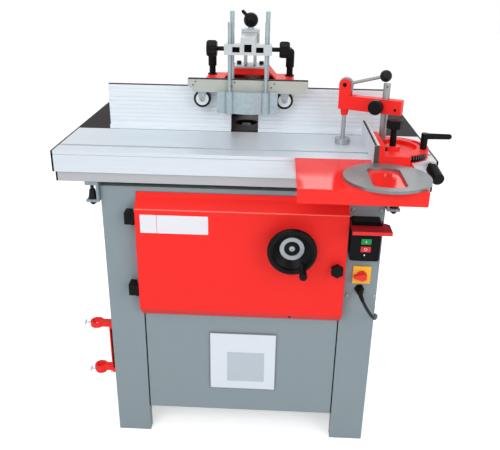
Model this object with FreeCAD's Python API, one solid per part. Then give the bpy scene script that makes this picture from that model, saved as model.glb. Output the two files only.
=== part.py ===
import FreeCAD, Part
import math
import os

# A spindle moulder: sheet-steel cabinet, cast-iron table, sliding aluminium table, fence with
# cutter guards, mitre gauge with hold-down, and the spindle, motor and lift inside the cabinet.
# All lengths are in millimetres. The drawing frame has X = 0 at the middle of the table,
# Y = 0 at the front edge of the sliding table and Z = 0 on the floor; main() then moves
# every piece so that the origin is under the middle of the whole machine.

V = FreeCAD.Vector
UP = V(0, 0, 1)
RIGHT = V(1, 0, 0)
BACK = V(0, 1, 0)
FRONT = V(0, -1, 0)

# Clearances and shared values
cut_over = 5.0            # how far a cutting body runs past the face it cuts
slide_gap = 0.4           # between faces that slide on each other
turn_gap = 0.3            # round a piece that turns loosely
shaft_gap = 0.05          # radial clearance of a shaft in its bore
screw_r = 4.0             # M8 clamp screws

# Tables
table_length = 1000.0
table_rise = 103.0        # table top above the cabinet
slide_depth = 240.0
slide_height = 57.0
slide_wall = 6.0
slide_chamber_shares = ((0.03, 0.20), (0.34, 0.60), (0.63, 0.97))
t_slot_y = 60.0
t_slot_mouth = 13.0
t_slot_lip = 6.0
t_slot_width = 22.0
t_slot_depth = 15.0
edge_groove = 2.0
edge_groove_drop = 9.0
guide_y = 110.0
guide_width = 40.0
guide_height = 7.0
end_cap = 5.0             # plate that closes each end of the table and of its rail
rail_length = 990.0
rail_front = 8.0
rail_depth = 190.0
rail_height = 27.6
rail_wall = 5.0
rail_chambers = 3
table_gap = 2.0
main_depth = 360.0
main_plate = 40.0
main_rim_wall = 12.0
main_rim_height = 85.0
main_frame_wall = 14.0
main_frame_front = 250.0
main_frame_inset = 52.0   # back wall of the frame from the table's back edge
ring_r = 102.5
ring_thick = 7.0
ring_bore_r = 35.0
ring_seat = 10.0          # width of the ledge under the table ring

# Cabinet
cabinet_width = 770.0
cabinet_depth = 520.0
cabinet_front = 30.0
cabinet_height = 827.0
column_width = 100.0
sheet = 3.0
anchor_r = 6.0
anchor_half_x = 340.0
anchor_inset = 17.0
foot_depth = 30.0         # foot plate and inner flange at each end of a column
panel_lap = 15.0
panel_bottom = 93.0
front_panel_lap = 12.0    # how far the front panel runs up behind the door
vent_count = 8
vent_length = 130.0
vent_height = 6.0
vent_pitch = 14.0
vent_drop = 267.0
beam_y = 100.0
beam_depth = 30.0
beam_drop = 22.0          # top of the cross beam below the lift shaft axis
beam_height = 40.0
header_height = 27.0

# Rail brackets
bracket_out = 36.0        # how far a bracket stands out from the cabinet side
bracket_side_gap = 1.0
bracket_bar = 12.0
bracket_front = 12.0
bracket_back = 262.0
bracket_drop = 42.0
bracket_plate = 6.0
bracket_foot_depth = 32.0
jack_r = 5.0
jack_nut_r = 9.0
jack_nut_height = 8.0
jack_tail = 3.0
jack_cone_top_r = 8.0
jack_cone_r = 12.0
jack_cone = 26.0

# Side bracket with two clamp rings
side_bar_y = 31.0
side_bar_width = 40.0
side_bar_thick = 9.0
side_bar_bottom = 216.0
side_bar_height = 172.0
side_bar_wall = 3.0
side_ring_zs = (223.5, 380.5)
side_ring_r = 20.0
side_ring_bore_r = 13.0
side_ring_height = 15.0
side_ring_reach = 49.0    # ring axis from the cabinet side
side_arm_half = 11.0
side_stop_r = 17.0
side_stop = 8.0
side_screw_r = 3.0
side_screw = 14.0
side_wing = 9.0
side_wing_thick = 3.0

# Door; every drop is measured down from the top of the cabinet
door_half_width = 288.0
door_bottom_drop = 394.0
door_top_drop = 13.0
door_flange = 14.0
door_flange_step = 3.0
door_break_top_drop = 52.0
door_break_bottom_drop = 359.0
door_depth = 34.0
door_gap = 1.0
door_wall = 2.5
shell_tolerance = 0.02    # exactness asked of the door's hollowing
hinge_axis_x = -294.0
hinge_axis_y = -1.0
hinge_drops = (317.0, 98.0)
hinge_height = 34.0
hinge_block_width = 17.0
hinge_block_gap = 6.0     # from the hinge axis to the block
hinge_knuckle_r = 5.5
hinge_pin_r = 2.5
hinge_web = 3.0

# Handwheel, door knob
wheel_x = 138.0
wheel_drop = 140.5
wheel_r = 59.0
wheel_rim_r = 7.5
wheel_y = -52.0
wheel_dish = 28.0
wheel_web = 6.0
wheel_hub_r = 22.0
wheel_hub_back = -9.0
lift_shaft_r = 10.0
dog_tongue_width = 8.0
dog_tongue_length = 8.0
dog_half_span = 14.0
dog_slack = 1.0
dog_y = 46.0
dog_flange_r = 18.0
dog_flange_thick = 14.0
grip_offset_x = 29.0
grip_offset_z = -37.0
grip_length = 60.0
grip_base_r = 8.0
grip_end_r = 10.5
grip_round = 3.0
grip_pin_r = 4.0
knob_x = 263.0
knob_drop = 207.0
knob_r = 18.0
knob_lobes = 6
knob_lobe_r = 5.0
knob_thick = 16.0
knob_neck_r = 9.0
knob_neck = 10.0

# Switch box, isolator and gland on the right column
box_x = 334.5
box_width = 80.0
box_drop = 180.0          # bottom of the box, like the other drops from the cabinet's top
box_height = 115.0
box_depth = 40.0
box_corner_r = 7.0
button_x = 336.0
button_width = 27.0
button_height = 16.0
button_drops = (143.5, 121.0)
button_stand = 4.0
button_pocket = 9.0
button_gap = 0.3
flap_pin_y = 8.0
flap_pin_drop = 76.0
flap_pin_r = 3.0
flap_eye_r = 7.0
flap_arm = 3.0
flap_top_drop = 74.0
flap_plate_back = -15.0
flap_wing_front = -4.0
flap_front = -56.0
flap_sheet = 4.0
flap_lip_drop = 84.0
flap_flare = 17.0         # how much further the plate reaches on the side away from the door
isolator_x = 338.0
isolator_drop = 241.0
isolator_width = 50.0
isolator_height = 54.0
isolator_thick = 5.0
isolator_knob_r = 14.0
isolator_knob_thick = 8.0
isolator_grip_thick = 10.0
isolator_grip_half = 11.0
isolator_tip = 24.0       # how far the pointer of the grip reaches from the axis
isolator_tip_half = 2.0
isolator_heel = 12.0
isolator_heel_half = 7.0
gland_x = 335.0
gland_drop = 286.0
gland_hex_r = 14.0
gland_hex_thick = 8.0
gland_dome_r = 12.0
gland_mouth_r = 9.0
gland_dome = 18.0

# Mains lead: plan of its route after the gland, chosen by hand, and how high each point lies
# between the floor and the gland
cord_d = 9.0
cord_rest = 5.0           # height of the cord's axis where it lies on the floor
cord_plan = (
    (335.0, -24.0), (341.5, -42.5), (352.0, -52.5), (364.5, -51.5), (374.5, -39.0),
    (381.5, -16.0), (389.2, 14.0), (392.8, 52.0), (394.5, 94.0), (398.0, 138.0), (402.0, 178.0),
    (405.0, 216.0), (406.0, 258.0), (408.0, 304.0), (411.0, 356.0), (415.0, 414.0), (416.0, 468.0),
    (413.0, 528.0), (402.0, 586.0), (375.0, 643.0), (330.0, 686.0), (270.0, 706.0),
)
cord_height_shares = (
    1.0, 0.9832, 0.9543, 0.9216, 0.8946, 0.875, 0.8517, 0.819, 0.7668, 0.6828, 0.5746,
    0.444, 0.3041, 0.1735, 0.0672, 0.0075, 0.0, 0.0, 0.0, 0.0, 0.0, 0.0,
)
coil_r_inner = 44.0
coil_turns_per_layer = 2
coil_climb_turns = 0.5    # share of a turn in which the cord climbs to the second layer
coil_last_turns = 0.25    # what is wound after the second layer is full
coil_tail = 70.0          # straight end between the coil and the plug
coil_pitch = 9.8          # radial and vertical step of the turns
plug_r = 15.0
plug_length = 42.0
plug_neck_r = 8.0
plug_neck = 22.0
plug_pin_r = 2.4
plug_pin_length = 19.0
plug_pin_spacing = 19.0

# Spindle, motor and lift inside the cabinet
spindle_x = -8.0
spindle_y = 360.0
spindle_drop = 5.0        # top of the arbor below the table top
arbor_r = 15.0
arbor_length = 113.0
shoulder_r = 22.0
shoulder = 12.0
spindle_r = 20.0
spindle_tail = 100.0      # bottom of the spindle below the quill
pulley_seat_r = 14.0
pulley_seat_drop = 20.0
collar_r = 25.0
collar_heights = (20.0, 15.0, 10.0)
arbor_thread_r = 5.0
arbor_thread = 25.0
quill_drop = 95.0         # top of the quill below the table plate
quill_length = 255.0
quill_r = 52.0
bearing_r = 45.0
bearing_height = 20.0
quill_relief_r = 38.0
guide_column_r = 15.0
guide_offset_x = 85.0
guide_offset_y = 80.0
guide_tail = 70.0         # bottom of the guide columns below the quill
guide_tie = 12.0
guide_tie_margin = 12.0
sleeve_r = 24.0
sleeve_drop = 15.0        # top of the sleeves below the top of the quill
sleeve_length = 220.0
carriage_web = 16.0
carriage_web_margin = 15.0
motor_plate_drop = 32.0   # bottom of the motor plate below the quill
motor_plate_thick = 12.0
motor_x = -190.0
motor_r = 82.0
motor_height = 240.0
motor_fins = 24
motor_fin_depth = 4.0
motor_fin_width = 3.0
motor_cap = 34.0
motor_shaft_r = 12.0
motor_shaft = 80.0        # length of the shaft inside the motor
motor_box_width = 90.0
motor_box_depth = 30.0
motor_box_height = 80.0
motor_box_lift = 70.0
motor_plate_margin = 16.0
pulley_r = 40.0
motor_pulley_r = 60.0
pulley_width = 26.0
pulley_rim = 4.0
belt_drop = 78.0          # middle of the belt below the quill
belt_width = 16.0
belt_thick = 5.0
belt_gap = 0.3
lift_screw_r = 10.0
lift_screw_below = 52.0   # bottom of the screw below the lift shaft axis
lift_screw_over = 29.0    # top of the screw above the cabinet
lift_nut_r = 20.0
lift_nut_rise = 32.0      # bottom of the nut above the lift shaft axis
lift_nut_height = 40.0
gear_outer_r = 32.0
gear_inner_r = 20.0
gear_gap = 0.6
gear_hub_r = 15.0
gear_hub = 8.0
gear_teeth = 20
gear_groove = 3.0
gear_groove_depth = 2.5
bearing_block = 44.0
bearing_block_wall = 14.0
screw_foot = 10.0

# Fence
fence_front = 250.0
fence_thick = 14.0
fence_height = 127.5
left_plate_ends = (-403.0, -47.0)
right_plate_ends = (32.0, 387.0)
fence_groove_count = 9
fence_groove = 2.6
fence_groove_depth = 1.4
fence_foot_height = 11.0
fence_foot_depth = 9.0      # how far the foot reaches in front of the plate
hood_x = 4.0
hood_half_width = 128.0
hood_sheet = 4.0
hood_back = 478.0
hood_shoulder_rise = 145.0
hood_back_drop = 35.0
hood_cover_front = 290.0
hood_cover_back = 395.0
hood_cover_half = 52.0
hood_cover_foot_half = 76.0
hood_cover_height = 29.0
hood_lip = 17.0
mouth_margin = 8.0
port_r = 50.0
port_wall = 2.0
port_length = 60.0
port_rise = 55.0
clamp_offset = 115.5
clamp_y = 359.0
clamp_stud_r = 9.5
clamp_sleeve_r = 12.5
clamp_sleeve_rise = 26.0  # bottom of the sleeve above the hood's shoulder
clamp_sleeve_height = 42.0
clamp_handle_length = 70.0
clamp_handle_r = 7.0
clamp_washer_r = 14.0
clamp_washer = 3.0

# Guard arm and what hangs from it
arm_x = 2.5
arm_width = 40.0
arm_rise = 56.0           # bottom of the arm above the hood
arm_height = 42.0
arm_bore = 20.0
arm_bore_lift = 5.0
arm_front = 178.0
arm_back = 425.0
bar_left = -62.0
bar_right = 67.0
bar_back = 218.0
bar_drop = 3.0
bar_height = 28.0
bar_window_height = 14.0
bar_window_depth = 12.0
bar_window_margin = 2.0
bracket_base_half = 45.0
bracket_base_front = 298.0
bracket_base_depth = 84.0
bracket_base_thick = 5.0
bracket_cheek = 5.0
bracket_upright = 8.0
bracket_upright_half = 18.0
bracket_cheek_front = 312.0
bracket_cheek_depth = 56.0
bracket_bridge = 8.0
bracket_boss_r = 9.0
bracket_boss = 4.0
bracket_bolt_r = 7.0
bracket_bolt_height = 10.0
arm_knob_neck_r = 7.0
arm_knob_neck = 4.0
arm_ball_r = 21.0
arm_ball_rise = 15.75     # centre of the ball above the neck
arm_lever_r = 5.0
arm_lever_length = 32.0
front_rod_r = 5.0
rod_r = 6.0
rod_half_spacing = 50.0
front_rod_y = 190.0
rear_rod_y = 207.0
rear_rod_shift = 4.0
rear_rod_half_spacing = 48.0
front_rod_rise = 56.0     # top of the rods above the crossbar
rear_rod_rise = 83.0
rod_knob_r = 22.0
rod_knob_thick = 28.0
rod_knob_round_r = 23.5
rod_knob_stud_r = 6.0
rod_knob_stud = 20.0
board_left = -165.0
board_right = 170.0
board_front = 199.0
board_thick = 16.0
board_socket = 22.0
board_rise = 122.0
board_height = 35.0
board_chamfer = 18.0
wheel_xs = (-127.0, 106.0)
roller_drop = 23.0
roller_r = 24.0
roller_width = 14.0
roller_gap = 1.0
roller_bore_r = 5.0
fork_plate = 2.0
fork_half_width = 20.0
fork_end_r = 7.5
fork_top_drop = 7.0
guard_rise = 66.0
guard_height = 61.0
guard_bow = 12.0
guard_sheet = 2.0
guard_sleeve_r = 8.0
guard_fold_r = 13.0       # bulge of the sheet in front of a sleeve
guard_wing = 26.0
guard_wing_bend = 5.0

# Extension plate, loose ring, push handle
ext_left = 136.0
ext_right = 429.0
ext_depth = 234.0
ext_height = 35.0
ext_sheet = 3.0
ext_top_drop = 0.4
spare_x = 347.0
spare_y = -151.0
spare_r = 102.5
spare_thick = 7.0
spare_opening_r = 73.5
spare_opening_left = 2.5   # middle of the opening from the ring's middle
spare_opening_front = 6.5
spare_opening_half = 39.5
spare_corner_r = 18.0
handle_inset = 20.5
handle_drop = 10.0
handle_direction = (0.14, -0.953, -0.266)
handle_rod_r = 6.0
handle_rod = 13.0
handle_grip_r = 15.5
handle_grip = 56.0
handle_round = 5.0

# Mitre gauge
pivot_x = 391.0
mitre_r = 92.0
mitre_thick = 21.6
mitre_front = -43.0
mitre_left = 341.3
mitre_front_right = 420.0
mitre_pocket_r = 62.0
mitre_pocket_depth = 9.0
mitre_boss_r = 20.0
mitre_slot_r = 78.0
mitre_slot_width = 12.0
mitre_slot_start = -20.0  # degrees
mitre_slot_end = 37.0
mitre_flange = 14.0
mitre_flange_back = 100.0
mitre_flange_height = 26.0
mitre_fence_thick = 13.0
mitre_fence_front = -44.0
mitre_fence_back = 206.0
mitre_fence_height = 50.0
mitre_fence_slot = 3.0
lever_angle = -14.0       # degrees, where the clamp lever stands round the pivot
lever_hub_r = 9.0
lever_hub = 40.0
lever_stud_r = 5.0
lever_length = 62.0
lever_root_r = 8.0
lever_end_r = 7.0
lever_drop = 8.0          # handle axis below the top of the hub
mitre_knob_r = 21.0
mitre_stem = 47.0
mitre_knob_thick = 21.0
mitre_stem_r = 8.4
mitre_screw_r = 6.0
mitre_nut_r = 9.0
mitre_nut = 5.0

# Hold-down
post_x = 369.5
post_y = 106.0
post_r = 9.3
post_seat = 5.4           # floor of the post's hole above the underside of the head
post_over = 41.0          # top of the post above the arm
post_boss_r = 17.0
post_boss = 6.0
plunger_x = 269.0
plunger_y = 151.0
plunger_r = 6.0
foot_r = 20.5
foot_height = 15.0
hold_rise = 75.0          # underside of the arm above the mitre head
hold_height = 37.0
hold_width = 26.0
hold_tail = 45.0
boss_width = 30.0
boss_drop = 17.0
boss_nose_r = 12.0
boss_tip_r = 9.0
cam_rise = 28.0           # cam axis above the arm
cam_r = 19.0
cam_offset = 6.0
cam_thick = 10.0
cam_seat_gap = 0.8
cam_travel = 4.5
cheek_gap = 0.3
cam_pin_r = 4.0
cam_lever_r = 4.5
cam_lever_start = 10.5    # start of the lever from the cam's axis
cam_lever_length = 109.0
cam_lever_angle = 16.5    # degrees above level
cam_ball_r = 15.5
hold_knob_back = 17.0     # knob screw from the post, towards the plunger
hold_knob_r = 19.0
hold_knob_thick = 22.0
hold_knob_round = 4.4
hold_knob_neck = 6.0
hold_knob_neck_r = 9.0

# Worked out from the sizes above
table_top = cabinet_height + table_rise
half_table = table_length / 2
half_cabinet = cabinet_width / 2
cabinet_back = cabinet_front + cabinet_depth
slide_bottom = table_top - slide_height
rail_top = slide_bottom - slide_gap
rail_bottom = rail_top - rail_height
main_front = slide_depth + table_gap
main_back = main_front + main_depth
main_frame_back = main_back - main_frame_inset
main_under = table_top - main_plate
header_bottom = cabinet_height - header_height
vent_bottom = cabinet_height - vent_drop
door_top = cabinet_height - door_top_drop
door_bottom = cabinet_height - door_bottom_drop
door_break_top = cabinet_height - door_break_top_drop
door_break_bottom = cabinet_height - door_break_bottom_drop
front_panel_top = door_bottom + front_panel_lap
hinge_zs = [cabinet_height - drop for drop in hinge_drops]
wheel_z = cabinet_height - wheel_drop
knob_z = cabinet_height - knob_drop
box_bottom = cabinet_height - box_drop
button_zs = [cabinet_height - drop for drop in button_drops]
flap_pin_z = cabinet_height - flap_pin_drop
flap_plate_top = cabinet_height - flap_top_drop
flap_lip_bottom = cabinet_height - flap_lip_drop
isolator_z = cabinet_height - isolator_drop
gland_z = cabinet_height - gland_drop
cord_heights = [cord_rest + (gland_z - cord_rest) * share for share in cord_height_shares]
cord_route = [(x, y, z) for (x, y), z in zip(cord_plan, cord_heights)]
spindle_top = table_top - spindle_drop
quill_top = main_under - quill_drop
quill_bottom = quill_top - quill_length
spindle_bottom = quill_bottom - spindle_tail
pulley_seat_top = quill_bottom - pulley_seat_drop
guide_bottom = quill_bottom - guide_tail
sleeve_top = quill_top - sleeve_drop
sleeve_bottom = sleeve_top - sleeve_length
motor_plate_bottom = quill_bottom - motor_plate_drop
belt_z = quill_bottom - belt_drop
lift_screw_top = cabinet_height + lift_screw_over
lift_nut_bottom = wheel_z + lift_nut_rise
door_back = cabinet_front - door_gap
door_front = door_back - door_depth
box_front = cabinet_front - box_depth
fence_bottom = table_top + slide_gap
fence_back = fence_front + fence_thick
hood_front = fence_back + turn_gap
hood_left = hood_x - hood_half_width
hood_right = hood_x + hood_half_width
hood_shoulder = table_top + hood_shoulder_rise
hood_back_top = hood_shoulder - hood_back_drop
hood_top = hood_shoulder + hood_cover_height
port_z = table_top + port_rise
clamp_sleeve_bottom = hood_shoulder + clamp_sleeve_rise
clamp_sleeve_top = clamp_sleeve_bottom + clamp_sleeve_height
arm_bottom = hood_top + arm_rise
arm_top = arm_bottom + arm_height
bar_bottom = arm_bottom - bar_drop
bar_top = bar_bottom + bar_height
front_rod_top = bar_top + front_rod_rise
rear_rod_top = bar_top + rear_rod_rise
board_bottom = table_top + board_rise
board_top = board_bottom + board_height
board_back = board_front + board_thick
roller_z = board_bottom - roller_drop
fork_top = board_top - fork_top_drop
guard_bottom = table_top + guard_rise
guard_top = guard_bottom + guard_height
guard_rod_x = arm_x
mitre_bottom = table_top + slide_gap
mitre_top = mitre_bottom + mitre_thick
mitre_knob_bottom = mitre_top + mitre_stem
hold_bottom = mitre_top + hold_rise
hold_top = hold_bottom + hold_height
boss_bottom = hold_bottom - boss_drop
cam_z = hold_top + cam_rise
post_top = hold_top + post_over
handle_start = (half_table - handle_inset, 0, table_top - handle_drop)
ext_top = table_top - ext_top_drop
ext_back = -ext_top_drop
hold_angle = math.atan2(post_y - plunger_y, post_x - plunger_x)
hold_length = math.hypot(post_x - plunger_x, post_y - plunger_y)
lever_x = pivot_x + mitre_slot_r * math.cos(math.radians(lever_angle))
lever_y = t_slot_y + mitre_slot_r * math.sin(math.radians(lever_angle))


def box(x0, x1, y0, y1, z0, z1):
    """A block between two values on each axis."""
    return Part.makeBox(x1 - x0, y1 - y0, z1 - z0, V(x0, y0, z0))


def rod(centre, axis, radius, length):
    """A round bar that starts at a point and runs along an axis."""
    return Part.makeCylinder(radius, length, V(*centre), axis)


def cone(centre, axis, start_r, end_r, length):
    return Part.makeCone(start_r, end_r, length, V(*centre), axis)


def ball(centre, radius):
    return Part.makeSphere(radius, V(*centre))


def prism(points, sweep):
    """A closed outline of points, carried along a vector."""
    corners = [V(*point) for point in points]
    face = Part.Face(Part.makePolygon(corners + corners[:1]))
    return face.extrude(sweep)


def joined(first, *others):
    return first.fuse(list(others)).removeSplitter()


def without(body, *tools):
    return body.cut(list(tools))


def group(*solids):
    """Separate solids kept in one node."""
    return Part.makeCompound(list(solids))


def turned(shape, centre, axis, degrees):
    copy = shape.copy()
    copy.rotate(V(*centre), axis, degrees)
    return copy


def mirrored_x(shape):
    return shape.mirror(V(0, 0, 0), RIGHT)


def hexagon(centre, radius, height):
    """A hexagonal nut or bolt head with its axis upwards; radius is to the corners."""
    x, y, z = centre
    sides = 6
    turn = 2 * math.pi / sides
    points = [(x + radius * math.cos(turn * i), y + radius * math.sin(turn * i), z) for i in range(sides)]
    return prism(points, V(0, 0, height))


def star_knob(centre, axis, radius, thickness, lobe_r, lobes):
    """A round knob with a ring of lobes round its rim."""
    body = rod(centre, axis, radius - lobe_r / 2, thickness)
    side = UP if abs(axis.z) < abs(axis.x) + abs(axis.y) else RIGHT
    for i in range(lobes):
        place = V(*centre) + side * (radius - lobe_r)
        lobe = rod(tuple(place), axis, lobe_r, thickness)
        body = body.fuse(turned(lobe, centre, axis, 360.0 * i / lobes))
    return body.removeSplitter()


def side_columns():
    """Two folded sheet uprights, each a channel with a head plate and two feet with anchor holes."""
    inner = half_cabinet - column_width
    outside = box(inner, half_cabinet, cabinet_front, cabinet_back, 0, cabinet_height)
    hollow = box(inner - cut_over, half_cabinet - sheet, cabinet_front + sheet, cabinet_back - sheet,
                 sheet, cabinet_height - sheet)
    open_floor = box(inner - cut_over, half_cabinet - sheet, cabinet_front + foot_depth, cabinet_back - foot_depth,
                     -cut_over, sheet + cut_over)
    flanges = []
    for y in (cabinet_front, cabinet_back - foot_depth):
        flanges.append(box(inner, inner + sheet, y, y + foot_depth, 0, panel_bottom))
    anchors = []
    for y in (cabinet_front + anchor_inset, cabinet_back - anchor_inset):
        anchors.append(rod((anchor_half_x, y, -cut_over), UP, anchor_r, sheet + 2 * cut_over))
    right = joined(without(outside, hollow, open_floor, *anchors), *flanges)
    return group(mirrored_x(right), right)


def cabinet_panels():
    """Lower front panel, rear panel with vents, floor shelf, header with top cover, and the lift beam."""
    reach = half_cabinet - column_width + panel_lap
    front_y = cabinet_front + sheet
    back_y = cabinet_back - sheet
    front = box(-reach, reach, front_y, front_y + sheet, panel_bottom, front_panel_top)
    rear = box(-reach, reach, back_y - sheet, back_y, panel_bottom, cabinet_height - sheet)
    for i in range(vent_count):
        z = vent_bottom + vent_pitch * i
        vent = box(motor_x - vent_length / 2, motor_x + vent_length / 2,
                   back_y - sheet - cut_over, back_y + cut_over, z, z + vent_height)
        rear = rear.cut(vent)
    wall = half_cabinet - sheet
    shelf = box(-wall, wall, front_y + sheet, back_y - sheet, panel_bottom, panel_bottom + sheet)
    inner = half_cabinet - column_width
    header = box(-inner, inner, cabinet_front, front_y, header_bottom, cabinet_height)
    cover = box(-inner, inner, front_y, main_frame_front, cabinet_height - sheet, cabinet_height)
    return group(front, rear, shelf, joined(header, cover), lift_beam())


def lift_beam():
    """Cross beam behind the door with a bearing block for the shaft and a foot for the screw."""
    wall = half_cabinet - sheet
    top = wheel_z - beam_drop
    beam = box(-wall, wall, beam_y, beam_y + beam_depth, top - beam_height, top)
    half = bearing_block / 2
    block = box(wheel_x - half, wheel_x + half, beam_y, beam_y + bearing_block_wall, top, wheel_z + half)
    bore = rod((wheel_x, beam_y - cut_over, wheel_z), BACK, lift_shaft_r + shaft_gap, beam_depth + 2 * cut_over)
    screw_bottom = wheel_z - lift_screw_below
    reach = box(wheel_x - half, wheel_x + half, beam_y, spindle_y + half,
                screw_bottom - screw_foot, screw_bottom - turn_gap)
    return joined(beam, block.cut(bore), reach)


def main_table():
    """Cast-iron table plate with a rim, a box frame that stands on the cabinet and the ring seat."""
    plate = box(-half_table, half_table, main_front, main_back, main_under, table_top)
    rim_bottom = table_top - main_rim_height
    rim = box(-half_table, half_table, main_front, main_back, rim_bottom, main_under)
    rim = without(rim, box(-half_table + main_rim_wall, half_table - main_rim_wall,
                           main_front + main_rim_wall, main_back - main_rim_wall,
                           rim_bottom - cut_over, main_under + cut_over))
    frame = box(-half_cabinet, half_cabinet, main_frame_front, main_frame_back, cabinet_height, main_under)
    frame = without(frame, box(-half_cabinet + main_frame_wall, half_cabinet - main_frame_wall,
                               main_frame_front + main_frame_wall, main_frame_back - main_frame_wall,
                               cabinet_height - cut_over, main_under + cut_over))
    table = joined(plate, rim, frame)
    seat = rod((spindle_x, spindle_y, table_top - ring_thick), UP, ring_r + turn_gap, ring_thick + cut_over)
    hole = rod((spindle_x, spindle_y, main_under - cut_over), UP, ring_r - ring_seat, main_plate + 2 * cut_over)
    return without(table, seat, hole)


def table_ring():
    """Steel ring let into the table round the spindle."""
    bottom = table_top - ring_thick
    disc = rod((spindle_x, spindle_y, bottom), UP, ring_r, ring_thick)
    return disc.cut(rod((spindle_x, spindle_y, bottom - cut_over), UP, ring_bore_r, ring_thick + 2 * cut_over))


def sliding_table():
    """Extruded aluminium table with three chambers, a T-slot, a guide groove and a cap on each end."""
    body = box(-half_table, half_table, 0, slide_depth, slide_bottom, table_top)
    ends = (-half_table - cut_over, half_table + cut_over)
    low = slide_bottom + slide_wall + guide_height
    high = table_top - slide_wall
    chambers = []
    for first_share, last_share in slide_chamber_shares:
        chambers.append(box(*ends, slide_depth * first_share, slide_depth * last_share, low, high))
    cuts = []
    mouth = t_slot_mouth / 2
    cuts.append(box(*ends, t_slot_y - mouth, t_slot_y + mouth, table_top - t_slot_depth, table_top + cut_over))
    wide = t_slot_width / 2
    cuts.append(box(*ends, t_slot_y - wide, t_slot_y + wide, table_top - t_slot_depth, table_top - t_slot_lip))
    groove_top = table_top - edge_groove_drop
    cuts.append(box(*ends, -cut_over, edge_groove, groove_top - edge_groove, groove_top))
    half = guide_width / 2 + slide_gap
    cuts.append(box(*ends, guide_y - half, guide_y + half, slide_bottom - cut_over, slide_bottom + guide_height))
    return capped(without(body, *cuts), chambers, half_table)


def capped(profile, chambers, half_length):
    """An extrusion with chambers, and solid slices of the same profile that close its ends."""
    bounds = profile.BoundBox
    sides = (bounds.YMin, bounds.YMax, bounds.ZMin, bounds.ZMax)
    inner = half_length - end_cap
    middle = profile.common(box(-inner, inner, *sides))
    left_cap = profile.common(box(-half_length, -inner, *sides))
    right_cap = profile.common(box(inner, half_length, *sides))
    return group(without(middle, *chambers), left_cap, right_cap)


def slide_rail():
    """Guide rail under the sliding table: a hollow extrusion with a raised tongue and end caps."""
    half = rail_length / 2
    rail = box(-half, half, rail_front, rail_front + rail_depth, rail_bottom, rail_top)
    tongue = box(-half, half, guide_y - guide_width / 2, guide_y + guide_width / 2,
                 rail_top, slide_bottom + guide_height - slide_gap)
    pitch = (rail_depth - rail_wall) / rail_chambers
    hollows = []
    for i in range(rail_chambers):
        start = rail_front + rail_wall + pitch * i
        hollows.append(box(-half - cut_over, half + cut_over, start, start + pitch - rail_wall,
                           rail_bottom + rail_wall, rail_top - rail_wall))
    return capped(joined(rail, tongue), hollows, half)


def rail_brackets():
    """Two bars from the table's front rim to the rail, each with a gusset, foot plate and coned jack bolt."""
    inner = half_cabinet + bracket_side_gap
    outer = half_cabinet + bracket_out
    bar = box(inner, outer, bracket_front, bracket_back, rail_bottom - bracket_bar, rail_bottom)
    low = rail_bottom - bracket_drop - bracket_bar
    foot_back = bracket_front + bracket_foot_depth
    gusset = prism([(inner, bracket_front, rail_bottom - bracket_bar),
                    (inner, bracket_front + 2 * bracket_foot_depth, rail_bottom - bracket_bar),
                    (inner, foot_back, low), (inner, bracket_front, low)], V(bracket_plate, 0, 0))
    foot = box(inner, outer, bracket_front, foot_back, low - bracket_plate, low)
    arm = joined(bar, gusset, foot)
    bolt_x = (inner + bracket_plate + outer) / 2
    bolt_y = bracket_front + bracket_foot_depth / 2
    hole = rod((bolt_x, bolt_y, low - bracket_plate - cut_over), UP, jack_r + turn_gap,
               bracket_plate + 2 * cut_over)
    nut_z = low - bracket_plate - jack_nut_height
    bolt = joined(rod((bolt_x, bolt_y, nut_z - jack_tail), UP, jack_r, rail_bottom - bracket_bar - nut_z + jack_tail),
                  hexagon((bolt_x, bolt_y, nut_z), jack_nut_r, jack_nut_height),
                  cone((bolt_x, bolt_y, low), UP, jack_cone_r, jack_cone_top_r, jack_cone))
    pieces = [arm.cut(hole), bolt]
    return group(*pieces, *[mirrored_x(piece) for piece in pieces])


def side_bracket():
    """Bar on the cabinet's left side with two clamp rings for an upright post, a collar and wing screws."""
    face = -half_cabinet
    bar = box(face - side_bar_thick, face, side_bar_y, side_bar_y + side_bar_width,
              side_bar_bottom, side_bar_bottom + side_bar_height)
    channel = box(face - side_bar_thick + side_bar_wall, face + cut_over,
                  side_bar_y - cut_over, side_bar_y + side_bar_width - side_bar_wall,
                  side_ring_zs[0] + side_ring_height / 2, side_ring_zs[1] - side_ring_height / 2)
    middle = side_bar_y + side_bar_width / 2
    ring_x = face - side_ring_reach
    body = bar.cut(channel)
    for z in side_ring_zs:
        low = z - side_ring_height / 2
        ring = rod((ring_x, middle, low), UP, side_ring_r, side_ring_height)
        neck = box(ring_x, face - side_bar_thick, middle - side_arm_half, middle + side_arm_half,
                   low, low + side_ring_height)
        body = body.fuse([ring, neck])
    collar_bottom = side_ring_zs[0] - side_ring_height / 2 - side_stop
    collar = rod((ring_x, middle, collar_bottom), UP, side_stop_r, side_stop)
    bore_height = side_ring_zs[1] + side_ring_height - collar_bottom
    bore = rod((ring_x, middle, collar_bottom - cut_over), UP, side_ring_bore_r, bore_height + cut_over)
    screws = [wing_screw(ring_x - side_ring_r, middle, side_ring_zs[1], -1)]
    for side in (-1, 1):
        screws.append(wing_screw(ring_x + side * side_stop_r, middle, collar_bottom + side_stop / 2, side))
    return group(joined(body, collar).cut(bore), *screws)


def wing_screw(x, y, z, side):
    """Wing screw that stands out to the left (-1) or right (1) of a clamp ring."""
    shank = rod((x, y, z), RIGHT * side, side_screw_r, side_screw)
    head_x = x + side * (side_screw + side_wing_thick / 2)
    wing = box(head_x - side_wing_thick / 2, head_x + side_wing_thick / 2, y - side_wing, y + side_wing,
               z - side_wing / 2, z + side_wing / 2)
    return joined(shank, wing)


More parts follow.
